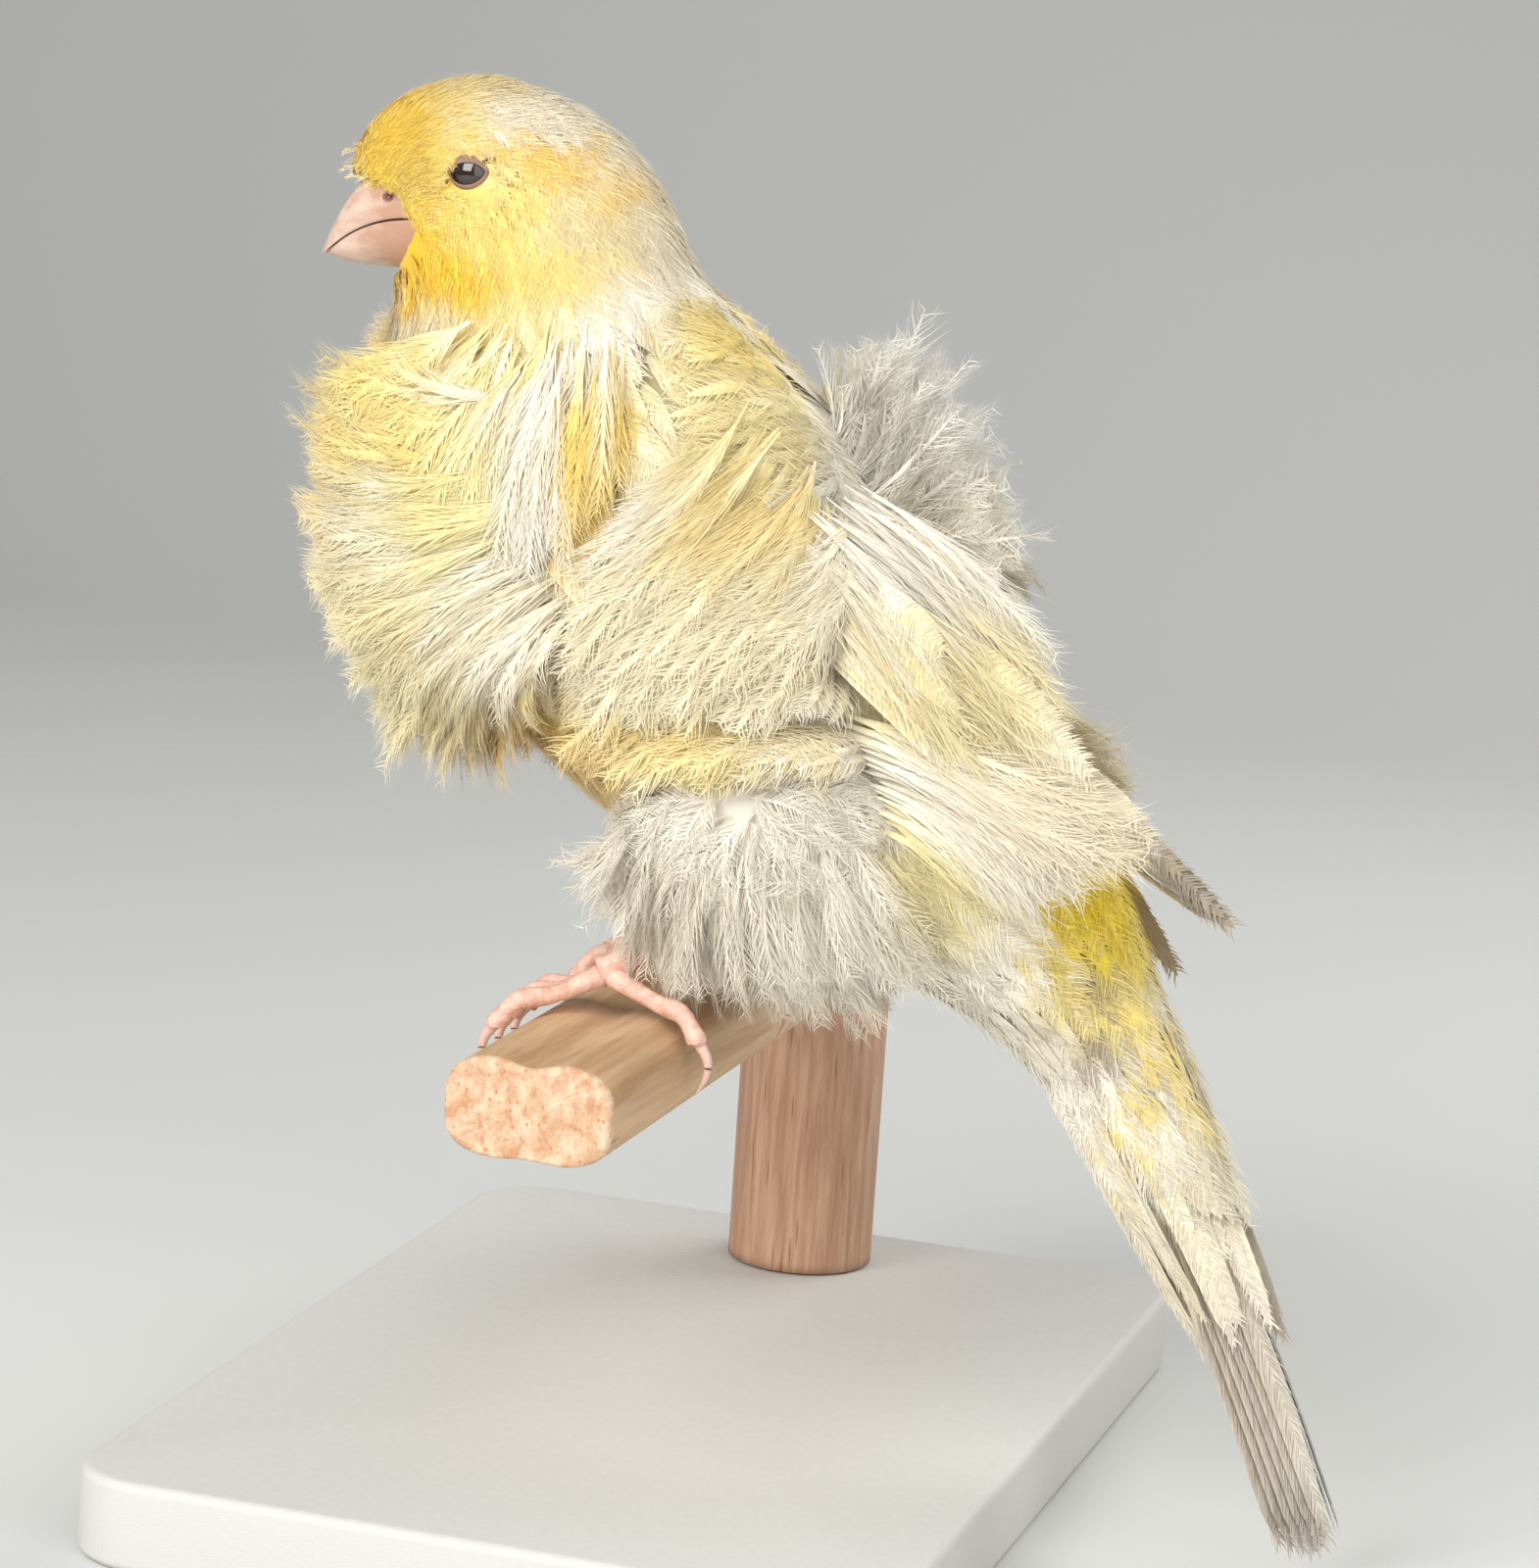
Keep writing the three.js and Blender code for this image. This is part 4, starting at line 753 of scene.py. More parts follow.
def barbs_of(rng, feather, barbs, ahead, start, curl, loose, strand, steps, colour_run):
    """The loose barbs of feathers: tapered strips in pairs, all the way up both sides of the shaft."""
    control, face, half, length, middle, tone, jitter = feather
    n, count = len(control), 2 * barbs
    span = LAST_BARB - start
    t = start + span * (np.arange(barbs) + 0.5) / barbs
    t = np.repeat(t[None, :, None], 2, 2).reshape(1, count)
    t = t + rng.uniform(-0.5, 0.5, (n, count)) * span / barbs
    sign = np.tile([-1.0, 1.0], barbs)[None, :, None]
    q = np.linspace(0, 1, steps)
    # A barb runs forward by a share of the feather's length, which falls towards the feather's tip.
    run = np.minimum(ahead * (1 - 0.6 * t) * rng.uniform(0.8, 1.15, (n, count)), 1.01 - t)
    u = t[..., None] + run[..., None] * q
    point, up, across = frame_at(control, face, u)
    # The feather is widest a little below its middle, and barbs curl up and stray at their ends.
    spread = np.sin(np.pi * np.clip(0.2 + 0.64 * t, 0, 1)) ** 0.8
    reach = (half[:, None] * spread * rng.uniform(0.75, 1.12, (n, count)))[..., None]
    offset = (sign * reach * (1 - (1 - q) ** BARB_CURVE))[..., None] * across
    lift = (0.05 + curl * reach * q ** 2 * rng.uniform(0.2, 1.6, (n, count, 1)))[..., None] * up
    drift = rng.normal(size=(n, count, 1, 3)) * (loose * length)[:, None, None, None]
    path = point + offset + lift + drift * (q ** DRIFT_CURVE)[:, None]
    side = unit(np.cross(up, np.gradient(path, axis=2)))
    width = strand * (1 - 0.7 * q) * rng.uniform(0.75, 1.25, (n, count, 1))
    flat = (n * count, steps)
    points, triangles = ribbons(path.reshape(*flat, 3), side.reshape(*flat, 3), width.reshape(flat))
    # The colour comes partly from the place of the feather's middle and partly from the barb's own.
    own = doubled(np.moveaxis(point, -1, 2).reshape(n, count, 3, steps))
    place = middle[:, None, None] * (1 - colour_run) + np.moveaxis(own, 2, -1) * colour_run
    per = 2 * steps - 1
    stripe = np.repeat((t * length[:, None])[..., None], per, -1)
    shade = np.clip(tone[:, None] + rng.normal(size=(n, count)) * 0.15, 0, 1)
    sideways = doubled(sign * 0.5 * (q / q[-1]) * np.ones((n, count, 1)))
    local = np.stack([sideways, np.clip(doubled(u), 0, 1) - 0.5], -1)
    return {
        "points": points,
        "triangles": triangles,
        "place": place + jitter[:, None, None],
        "vane": np.stack([stripe, doubled(u), np.repeat(shade[..., None], per, -1)], -1),
        "uv": root_uv(control[:, 0])[:, None, None] + PATCH * local,
    }


def blades_of(feather, ahead, blade, rows, cup, full, colour_run):
    """The closed middles of feathers: narrow cupped sheets that keep the body from showing."""
    control, face, half, length, middle, tone, jitter = feather
    n = len(control)
    row = np.linspace(0.03, 0.88, rows)
    ridge, up, across = (a[:, 0, :, None] for a in frame_at(control, face, np.tile(row, (n, 1, 1))))
    broad = blade * half[:, None] * np.sin(np.pi * (0.02 + 0.9 * row) ** 0.8) ** full
    edge = np.stack([-broad, 0 * broad, broad], -1)
    sheet = ridge + edge[..., None] * across
    sheet = sheet - (cup * np.abs(edge))[..., None] * up
    apex, _, _ = frame_at(control, face, np.full((n, 1, 1), TIP_SHARE))
    sheet = np.concatenate([sheet.reshape(n, -1, 3), apex[:, 0]], 1)
    pattern = []
    for a in (3 * k + j for k in range(rows - 1) for j in (0, 1)):
        pattern += [(a, a + 1, a + 4), (a, a + 4, a + 3)]
    pattern += [(3 * rows - 3, 3 * rows - 2, 3 * rows), (3 * rows - 2, 3 * rows - 1, 3 * rows)]
    size = 3 * rows + 1
    slant = (ahead * length / half)[:, None, None]
    u = np.append(np.repeat(row, 3), TIP_SHARE)[None].repeat(n, 0)
    stripe = (row[None, :, None] * length[:, None, None] - np.abs(edge) * slant).reshape(n, -1)
    stripe = np.concatenate([stripe, TIP_SHARE * length[:, None]], 1)
    sideways = np.append(np.tile([-0.3, 0.0, 0.3], rows), 0)
    local = np.stack([np.tile(sideways, (n, 1)), u - 0.5], -1)
    return {
        "points": sheet,
        "triangles": fan_triangles(n, size, pattern),
        "place": middle[:, None] * (1 - colour_run) + sheet * colour_run + jitter[:, None],
        "vane": np.stack([stripe, u, np.repeat(tone[:, None], size, 1)], -1),
        "uv": root_uv(control[:, 0])[:, None] + PATCH * local,
    }


def joined(batches):
    """Several lots of points, triangles and values as one."""
    lots = [{key: b[key].reshape(-1, b[key].shape[-1]) for key in b} for b in batches]
    starts = np.cumsum([0] + [len(lot["points"]) for lot in lots])
    whole = {key: np.concatenate([lot[key] for lot in lots]) for key in lots[0]}
    whole["triangles"] = np.concatenate([lot["triangles"] + s for lot, s in zip(lots, starts)])
    return whole


def plumes(rng, control, face, half, barbs, ahead=0.5, start=0.1, curl=0.12, loose=0.015, strand=0.11,
           steps=3, blade=0.34, rows=6, cup=0.15, roll=0.15, full=1.0, colour_run=0.5):
    """Feathers as arrays: curves (n, 4, 3), outward directions (n, 3) and half widths (n)."""
    n = len(control)
    length = np.linalg.norm(control[:, 3] - control[:, 0], axis=1)
    middle, heading = bezier(control, np.full((n, 1, 1), 0.5))
    face = unit(face + np.cross(heading[:, 0, 0], face) * rng.normal(size=(n, 1)) * roll)
    tone = rng.uniform(0, 1, n)
    jitter = rng.normal(size=(n, 3)) * 0.8
    feather = (control, face, half, length, middle[:, 0, 0], tone, jitter)
    return joined([barbs_of(rng, feather, barbs, ahead, start, curl, loose, strand, steps, colour_run),
                   blades_of(feather, ahead, blade, rows, cup, full, colour_run)])


def coat_piece(name, slot, batches, *nodes):
    """One piece of the coat from several batches of feathers."""
    dress(fast_mesh(name, material=coat_material, **joined(batches)), slot, *nodes)


def through(a, b, c, d):
    """The control places of cubic curves that pass through four places each."""
    return np.stack([a, (-5 * a + 18 * b - 9 * c + 2 * d) / 6, (2 * a - 9 * b + 18 * c - 5 * d) / 6, d], 1)


ROOT_DEPTH = 0.6
BODY_END = LAST - 0.02


def lying(rng, s, turn, length, lift, tip_lift, sway=0.15):
    """Curves of feathers that lie along the body from their roots, with their outward directions."""
    _, normal, along = body_frame(s, turn)
    long_step, round_step = steps_at(s, turn)
    scale = np.linalg.norm(long_step, axis=-1) / 0.1
    swing = rng.normal(size=s.shape) * sway
    girth = np.linalg.norm(round_step, axis=-1) / 2 + 1e-6
    ds = length * np.cos(swing) / scale
    dturn = np.clip(length * np.sin(swing) / girth, -40, 40)
    points = []
    for q, height in ((0, -ROOT_DEPTH), (1 / 3, 0.35 * lift), (2 / 3, lift), (1, tip_lift)):
        place, out, _ = body_frame(np.clip(s + ds * q, 0.02, BODY_END), turn + dturn * q)
        over = np.maximum(s + ds * q - BODY_END, 0) * scale
        points.append(place + out * height + along * over[..., None])
    return through(*points), normal


def scatter(rng, count, s_range, turn_range):
    """Places spread evenly over a stretch of the body's surface."""
    cells_s = np.linspace(*s_range, 61)
    cells_t = np.linspace(*turn_range, 61)
    s, t = np.meshgrid((cells_s[1:] + cells_s[:-1]) / 2, (cells_t[1:] + cells_t[:-1]) / 2, indexing="ij")
    area = np.linalg.norm(np.cross(*steps_at(s, t)), axis=-1).ravel()
    pick = rng.choice(area.size, count, p=area / area.sum())
    ds, dt = cells_s[1] - cells_s[0], cells_t[1] - cells_t[0]
    return (s.ravel()[pick] + rng.uniform(-0.5, 0.5, count) * ds,
            t.ravel()[pick] + rng.uniform(-0.5, 0.5, count) * dt)


# Head feathers. Short, close and silky, smallest round the bill and eyes, longer towards the nape,
# with bristles that stand forward over the root of the bill.
EYE_OPENING = np.array([2.9, 1.8])
EYE_LEAD = np.array([-0.6, 0])
FACE_END, HEAD_END = 3.9, 7.8
eye_corners = np.array([[tuple(corner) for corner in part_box("eye_" + side_name)] for side_name in SIDES])
eye_spot = (eye_corners.mean(1) - ORIGIN) / MM
head_rng = np.random.default_rng(21)
front_s, front_turn = scatter(head_rng, 3900, (0.1, FACE_END), (0, 360))
rear_s, rear_turn = scatter(head_rng, 3000, (FACE_END, HEAD_END), (0, 360))
head_s, head_turn = np.append(front_s, rear_s), np.append(front_turn, rear_turn)
head_root = surface(head_s, head_turn)
from_eye = (head_root[:, [0, 2]] - eye_spot[0, [0, 2]] - EYE_LEAD) / EYE_OPENING
bare = (np.linalg.norm(from_eye, axis=1) < 1) & (np.abs(head_root[:, 1]) > 4)
bare |= inside_outline(head_root[:, 0], head_root[:, 2], FACE_EDGE)
head_s, head_turn, from_eye = head_s[~bare], head_turn[~bare], from_eye[~bare]
head_length = np.interp(head_s, [0, 1.5, 4, HEAD_END], [1.7, 2.8, 4.6, 8.0])
head_length *= head_rng.uniform(0.8, 1.2, head_s.size)
head_length *= np.interp(np.linalg.norm(from_eye, axis=1), [1, 2.2], [0.4, 1])
head_control, head_face = lying(head_rng, head_s, head_turn, head_length, 0.2, 0.02, sway=0.1)
face_part = head_s < FACE_END
face_coat, crown_coat = (
    plumes(head_rng, head_control[part], head_face[part], head_length[part] * 0.22, 5, ahead=0.5, strand=0.1,
           rows=3, loose=0.02, colour_run=0.7) for part in (face_part, ~face_part))
BRISTLES = 110
BRISTLE_LOW, BRISTLE_HIGH = np.array([-33.2, 3.4, 78.4]), np.array([-36.6, 0.6, 81.6])
bristle_side = np.where(np.arange(BRISTLES) % 2, 1.0, -1.0)
bristle_share = head_rng.uniform(0, 1, (BRISTLES, 1))
bristle_root = BRISTLE_LOW * (1 - bristle_share) + BRISTLE_HIGH * bristle_share
bristle_root = bristle_root + head_rng.normal(size=(BRISTLES, 3)) * [0.7, 0.5, 0.7]
bristle_root[:, 1] *= bristle_side
bristle_way = unit(np.array([-1.0, 0, -0.35]) + head_rng.normal(size=(BRISTLES, 3)) * 0.25)
bristle_length = head_rng.uniform(1.0, 2.2, (BRISTLES, 1))
bristle_step = bristle_length * bristle_way
bristle_tip = bristle_root + bristle_step + bristle_length * [0, 0, -0.18]
bristle_control = np.stack([bristle_root - 0.4 * bristle_way, bristle_root + 0.35 * bristle_step,
                            bristle_root + 0.7 * bristle_step, bristle_tip], 1)
bristles = plumes(head_rng, bristle_control, unit(bristle_root * [0, 1, 0] + [-0.6, 0, 0.8]),
                  np.full(BRISTLES, 0.25), 3, strand=0.06, rows=2, blade=0.15, colour_run=1.0)
coat_piece("face_feathers", "gold_plumage", [face_coat, bristles])
coat_piece("crown_feathers", "gold_plumage", [crown_coat])


# Body feathers. Soft short feathers that cover the torso under and between the frills, and lie back
# over one another from the neck to the root of the tail.
body_rng = np.random.default_rng(31)
for part, s_range in (("front", (7.2, 13.0)), ("rear", (13.0, 19.6))):
    body_s, body_turn = scatter(body_rng, 1150, s_range, (0, 360))
    body_length = np.interp(body_s, [7, 9, 16, 20], [8, 11, 10, 10])
    body_length *= body_rng.uniform(0.8, 1.2, body_s.size)
    body_control, body_face = lying(body_rng, body_s, body_turn, body_length, 0.6, 0.2, sway=0.1)
    body_coat = plumes(body_rng, body_control, body_face, body_length * 0.2, 9,
                       rows=4, strand=0.14, blade=0.6)
    coat_piece("body_feathers_" + part, "cream_plumage", [body_coat])


# Frills. Long curled feathers that grow in tracts on the breast, mantle and flanks and stand off
# the body. Each tract is given as fans: roots and tips along its edge, from one tier to the next.
FEATHER_SINK = 2.2
FULL_REACH = (0.78, 1.0)
GOLDEN_SHARE = 0.6180339887


def fan_line(fan, v, side):
    """Roots and tips at shares v of the way across a fan, on one side of the bird."""
    roots = np.asarray(fan["roots"], float)
    if roots.shape[1] == 2:
        flat = line(roots, v)
        s = station_at(flat[:, 0], flat[:, 1])
        root = surface(s, turn_at(flat[:, 0], flat[:, 1], s))
    else:
        root = line(roots * [1, -1, 1], v)
    tip = line(np.asarray(fan["tips"], float) * [1, -1, 1], v)
    return root * [1, -side, 1], tip * [1, -side, 1]


def tract(rng, fans, count, side, scatter_tip, reach, sink, scatter_root=0.8):
    """Curves and outward directions of feathers strewn over a tract between its fans."""
    v = (np.arange(count) * GOLDEN_SHARE) % 1
    tier = rng.uniform(0, len(fans) - 1, count) if len(fans) > 1 else np.zeros(count)
    low = np.minimum(tier.astype(int), max(len(fans) - 2, 0))
    share = (tier - low)[:, None]
    ends = [fan_line(fan, v, side) for fan in fans]
    roots, tips = np.stack([e[0] for e in ends]), np.stack([e[1] for e in ends])
    bulges = np.array([fan["bulge"] for fan in fans], float)
    index = np.arange(count)
    high = np.minimum(low + 1, len(fans) - 1)
    root = roots[low, index] * (1 - share) + roots[high, index] * share
    tip = tips[low, index] * (1 - share) + tips[high, index] * share
    bulge = bulges[low] * (1 - share) + bulges[high] * share
    root = root + rng.normal(size=root.shape) * scatter_root
    tip = root + (tip - root) * rng.uniform(*reach, (count, 1)) + rng.normal(size=tip.shape) * scatter_tip
    away = outward(root)
    out = unit(away + outward(tip))
    lift = bulge * rng.uniform(0.75, 1.05, (count, 1))
    control = np.stack([root - sink * away, root + (tip - root) * 0.33 + out * lift[:, :1],
                        root + (tip - root) * 0.7 + out * lift[:, 1:], tip], 1)
    return control, out


BREAST = [
    {"roots": [(-24, 58), (-26, 50), (-24, 42), (-20, 35), (-15, 32)],
     "tips": [(-37.5, 0.5, 61), (-38.5, 0.5, 50), (-37.5, 0.5, 39), (-31, 0.5, 27), (-20, 1, 19)],
     "bulge": (1, 1)},
    {"roots": [(-19, 59.5), (-20, 51), (-19, 44), (-16, 38.5), (-12, 35.5), (-8, 35)],
     "tips": [(-38.3, 8, 62), (-39, 8, 52), (-39, 8, 41.5), (-34, 8, 30.5), (-27.5, 8.5, 21),
              (-17.4, 10, 18.2), (-8.5, 14, 25.5)], "bulge": (3, 3)},
    {"roots": [(-12, 60.5), (-13, 54), (-13, 47.5), (-10.5, 42.5), (-6, 40)],
     "tips": [(-31, 12.5, 62.5), (-33, 13, 54), (-33, 13, 44), (-28, 14, 34), (-20, 16, 27), (-9, 18.5, 29)],
     "bulge": (6, 5)},
]
JABOT = [
    {"roots": [(-25, 62), (-20, 61), (-15, 60), (-10, 59.5)],
     "tips": [(-37, 10, 55), (-31.5, 13, 46), (-22, 16.5, 39), (-11, 19.5, 40)], "bulge": (4, 3.5)},
    {"roots": [(-23, 64.5), (-18, 63.5), (-13, 63), (-7, 63.5)],
     "tips": [(-34.5, 12, 60), (-29, 15, 51), (-18, 18.5, 45), (-4.5, 21, 44)], "bulge": (3.5, 3.5)},
    {"roots": [(-20, 66.5), (-15, 66), (-10, 66.5), (-4, 67.5)],
     "tips": [(-26, 13, 60), (-19, 16, 55), (-10, 18.5, 51), (0, 20, 51)], "bulge": (1.5, 2)},
]
FAR_COLLAR = [
    {"roots": [(-28, 60.5), (-25, 63), (-22, 65.5)],
     "tips": [(-38.2, 6, 62.4), (-35.5, 8, 65.2), (-31.5, 10, 67)], "bulge": (0.5, 1)},
]
SWEEP = [
    {"roots": [(-11, 55), (-9, 48), (-7, 42)],
     "tips": [(-37, 10, 50), (-37, 10, 40), (-31, 11, 29), (-20, 13, 23)], "bulge": (6, 5)},
    {"roots": [(-6, 52), (-5, 46), (-3, 41)],
     "tips": [(-30, 14.5, 47), (-30, 14, 37), (-22, 15.5, 29), (-11, 18, 28)], "bulge": (7.5, 6.5)},
]
MANTLE = [
    {"roots": [(3, 0.5, 67.5), (9, 0.5, 63), (14, 0.5, 58.5), (18, 0.5, 54)],
     "tips": [(2, 9.5, 68), (6, 12.5, 64), (9, 15, 59.5), (14, 16.5, 52)], "bulge": (1.5, 2.5)},
    {"roots": [(0, 4, 70), (7, 6, 65), (12, 7, 60.5), (16, 8, 55.5), (20, 8, 50)],
     "tips": [(-1, 13.5, 69), (1.5, 16.5, 63), (3.5, 18.5, 57), (6, 20.5, 49.5), (13, 21.5, 44)],
     "bulge": (2.5, 3)},
]
SHOULDER = [
    {"roots": [(9, 13, 62), (13, 12.5, 59), (17, 12, 55), (21, 11, 50)],
     "tips": [(-2.5, 21, 47), (3, 22.5, 43.5), (10, 23, 41.5), (20, 20.5, 40)], "bulge": (3, 3)},
    {"roots": [(12, 11, 60), (15, 11, 57), (18, 10.5, 53), (22, 9.5, 48)],
     "tips": [(-5, 21.5, 41), (2, 23.5, 38), (10, 24, 37), (20, 22, 38)], "bulge": (5, 4)},
]
FLANK = [
    {"roots": [(3, 43), (10, 43), (16, 41), (21, 36)],
     "tips": [(-7.5, 15.5, 25.5), (2, 20.5, 28), (12, 22.5, 30), (21.5, 21.5, 32)], "bulge": (3, 3.5)},
    {"roots": [(6, 51), (12, 50), (17, 46.5)],
     "tips": [(-6, 21, 37), (4, 24, 37.5), (14, 24.5, 39)], "bulge": (5, 5.5)},
]
HEM = [
    {"roots": [(5, 37), (13, 36), (20, 33), (25, 29)],
     "tips": [(-7, 14, 24), (2, 18.5, 24.5), (11, 21, 26), (21, 20.5, 28)], "bulge": (1.5, 2)},
]
REAR_TUFT = [
    {"roots": [(20, 15.5, 31), (24, 14, 27), (25, 13, 22)],
     "tips": [(52, 13, 25), (53, 14.5, 20.5), (44, 14.5, 16)], "bulge": (4, 3)},
    {"roots": [(22, 17, 33), (26, 16.5, 28), (27, 15, 23)],
     "tips": [(46, 16, 25), (46, 17, 20.5), (40, 16, 16)], "bulge": (2.5, 2.5)},
]
BACK_TUFT_FAR = [
    {"roots": [(14, 3, 57), (19, 4, 52), (24, 4, 46)],
     "tips": [(15, 5, 67.5), (21, 8, 67), (26, 9, 62), (29, 8, 55), (32, 7, 49), (33.5, 4, 43)],
     "bulge": (1.5, 1)},
]
BACK_TUFT_NEAR = [
    {"roots": [(16, 2, 55.5), (21, 3, 50), (25, 3, 44.5)],
     "tips": [(16.5, 1, 66), (22.5, 2, 64.5), (27, 2, 58), (31, 1, 51), (33, 1, 44.5)], "bulge": (1, 0.5)},
]
THIGH = [
    {"roots": [(3, 17, 23), (10, 19, 24), (18, 19, 24), (25, 15.5, 23)],
     "tips": [(-1.5, 14, 10), (5, 17, 6.5), (14, 18, 5.5), (24, 17, 7), (34, 13, 12)], "bulge": (2.5, 3)},
    {"roots": [(5, 16, 15), (10, 18, 13), (18, 18, 13), (24, 15, 14)],
     "tips": [(1, 12, 4.5), (8, 13, 1.5), (16, 13, 0.8), (24, 11, 1.5), (32, 9, 5)], "bulge": (1, 1.5)},
]
BELLY = [
    {"roots": [(5, 15.5), (12, 12), (20, 9)],
     "tips": [(1, 5, 6), (9.5, 5, 1.4), (17, 4, 0.8), (26, 3, 0.5)], "bulge": (2, 1.5)},
]
LOW_TUFT = [
    {"roots": [(1, 17.5), (4, 15.5)],
     "tips": [(-8.1, 5, 12.5), (-6, 8, 9), (-2.5, 7, 6.5)], "bulge": (1, 1)},
]
SCAPULARS = [
    {"roots": [(13, 17, 50), (17, 15, 53), (21, 11, 54)],
     "tips": [(30, 18.5, 33), (36, 16, 35), (38, 12, 41)], "bulge": (2, 2)},
    {"roots": [(18, 17, 45), (22, 14.5, 48), (25, 11, 49)],
     "tips": [(40, 16.5, 27), (44, 14, 30), (43, 11, 36)], "bulge": (1.5, 1.5)},
]
LONG_PLUMES = [
    {"roots": [(13, 14, 62), (14, 14.5, 60)], "tips": [(-2.3, 22, 39.2), (0, 22.5, 38)], "bulge": (4, 4)},
]
THIGH_PARTING = unit(np.array([-0.1, 0.75, 0.6]))


def round_the_thigh(rng, count, side):
    """Curves of down that lies round the thigh, away from a parting high on its outer side."""
    spots = unit(rng.normal(size=(4 * count, 3)))
    spots = spots[(spots @ [0, 0.8, 0.3]) > -0.15][:count]
    flow = spots - THIGH_PARTING * (spots @ THIGH_PARTING)[:, None] + rng.normal(size=spots.shape) * 0.2
    flow = unit(flow - spots * (flow * spots).sum(1, keepdims=True))
    swing = rng.uniform(0.55, 0.85, count)
    steps = []
    for share, height in ((0, 0.2), (1 / 3, 1.6), (2 / 3, 2.4), (1, 2.2)):
        turned = spots * np.cos(swing * share)[:, None] + flow * np.sin(swing * share)[:, None]
        steps.append(THIGH_CENTRE + turned * (THIGH_RADII + height))
    return through(*steps) * [1, side, 1], unit(spots / THIGH_RADII) * [1, side, 1]


FAR_SHARE = 0.8


def feathers(rng, side, fans, count, low, high, barbs=18, reach=FULL_REACH, scatter_tip=0.6,
             sink=FEATHER_SINK, lower=0.0, **settings):
    """Feathers of a tract, with half widths from low to high; the far side has fewer."""
    count = int(count * (1.0 if side < 0 else FAR_SHARE))
    control, out = tract(rng, fans, count, side, scatter_tip, reach, sink)
    control = control - [0, 0, lower]
    return plumes(rng, control, out, rng.uniform(low, high, count), barbs, **settings)


for side_name, side in SIDES.items():
    near = side < 0
    grow = (np.random.default_rng(41 + side), side)
    coat_piece("breast_frill_" + side_name, "cream_plumage",
               [feathers(*grow, BREAST, 560, 1.4, 2.4, scatter_tip=1.0, blade=0.26)])
    collar = [] if near else [feathers(*grow, FAR_COLLAR, 90, 1.2, 1.9, blade=0.15, scatter_tip=1.0)]
    coat_piece("jabot_" + side_name, "cream_plumage", collar + [
        feathers(*grow, JABOT, 460, 1.2, 2.0, 20, blade=0.18, sink=0.4, strand=0.1),
        feathers(*grow, SWEEP, 320, 1.2, 2.1, 20, blade=0.16, curl=0.25, strand=0.1)])
    coat_piece("mantle_frill_" + side_name, "cream_plumage", [
        feathers(*grow, MANTLE, 400, 1.4, 2.3, reach=FULL_REACH if near else (0.55, 0.75),
                 lower=0 if near else 3.2),
        feathers(*grow, SHOULDER, 330, 1.5, 2.4, blade=0.26, scatter_tip=1.0),
        feathers(*grow, LONG_PLUMES, 5, 1.2, 1.6, 40, blade=0.2)])
    coat_piece("flank_frill_" + side_name, "cream_plumage", [
        feathers(*grow, FLANK, 355, 1.6, 2.5, blade=0.26, scatter_tip=1.0),
        feathers(*grow, HEM, 150, 1.4, 2.2, blade=0.24, scatter_tip=1.0),
        feathers(*grow, REAR_TUFT, 220, 1.6, 2.4, loose=0.03, blade=0.2,
                 reach=FULL_REACH if near else (0.5, 0.75))])
    coat_piece("back_tuft_" + side_name, "white_plumage", [
        feathers(*grow, BACK_TUFT_NEAR if near else BACK_TUFT_FAR, 190, 1.4, 2.6, curl=0.4, loose=0.025,
                 roll=0.8, blade=0.12, scatter_tip=1.6, strand=0.09)])
    down_count = 420 if near else 340
    down_control, down_out = round_the_thigh(grow[0], down_count, side)
    down = plumes(grow[0], down_control, down_out, grow[0].uniform(1.3, 2.2, down_count), 21,
                  curl=0.2, loose=0.012, roll=0.6, blade=0.08, ahead=0.45, strand=0.085)
    coat_piece("thigh_down_" + side_name, "white_plumage", [
        down, feathers(*grow, THIGH, 400, 1.3, 2.2, 21, loose=0.012, blade=0.08, roll=0.6, curl=0.2,
                       strand=0.085, scatter_tip=1.4)])
    coat_piece("belly_down_" + side_name, "white_plumage", [
        feathers(*grow, BELLY, 170, 1.5, 2.4, loose=0.03, blade=0.16),
        feathers(*grow, LOW_TUFT, 60, 0.7, 1.2, 12, loose=0.05, blade=0.12, scatter_tip=1.4)])
    coat_piece("scapulars_" + side_name, "cream_plumage", [
        feathers(*grow, SCAPULARS, 200, 1.2, 2.0, blade=0.2, loose=0.03, scatter_tip=1.2,
                 reach=FULL_REACH if near else (0.35, 0.5))])


# Wings and tail. Stiff flight and tail feathers, fanned out in tiers with softer coverts over their
# roots. Every barb lies close to the next, so that each feather is one flat closed vane.
def vanes(rng, fan, count, side, half, barbs, droop=(0, 0, 0), step=0.3, ragged=0.0, short=1.0):
    """Stacked flight or tail feathers of one fan, each a little above the last."""
    v = (np.arange(count) + 0.5) / count
    root, tip = fan_line(fan, v, side)
    tip = tip + (np.array(droop) if side > 0 else 0)
    tip = root + (tip - root) * rng.uniform(short, 1, (count, 1))
    face = unit(np.array(fan["face"]) * [1, side, 1])
    above = face * (np.arange(count)[:, None] * step)
    low, high = fan["bulge"]
    control = np.stack([root - 1.5 * face + 0.2 * above, root + (tip - root) * 0.33 + face * low + above,
                        root + (tip - root) * 0.7 + face * high + above, tip + above], 1)
    return plumes(rng, control, np.repeat(face[None], count, 0), np.full(count, half), barbs, ahead=0.1,
                  start=0.03, curl=0.02, loose=0.001 + ragged, strand=0.24, blade=0.94, rows=12, cup=0.1,
                  roll=0.04, full=0.4, colour_run=0.9)


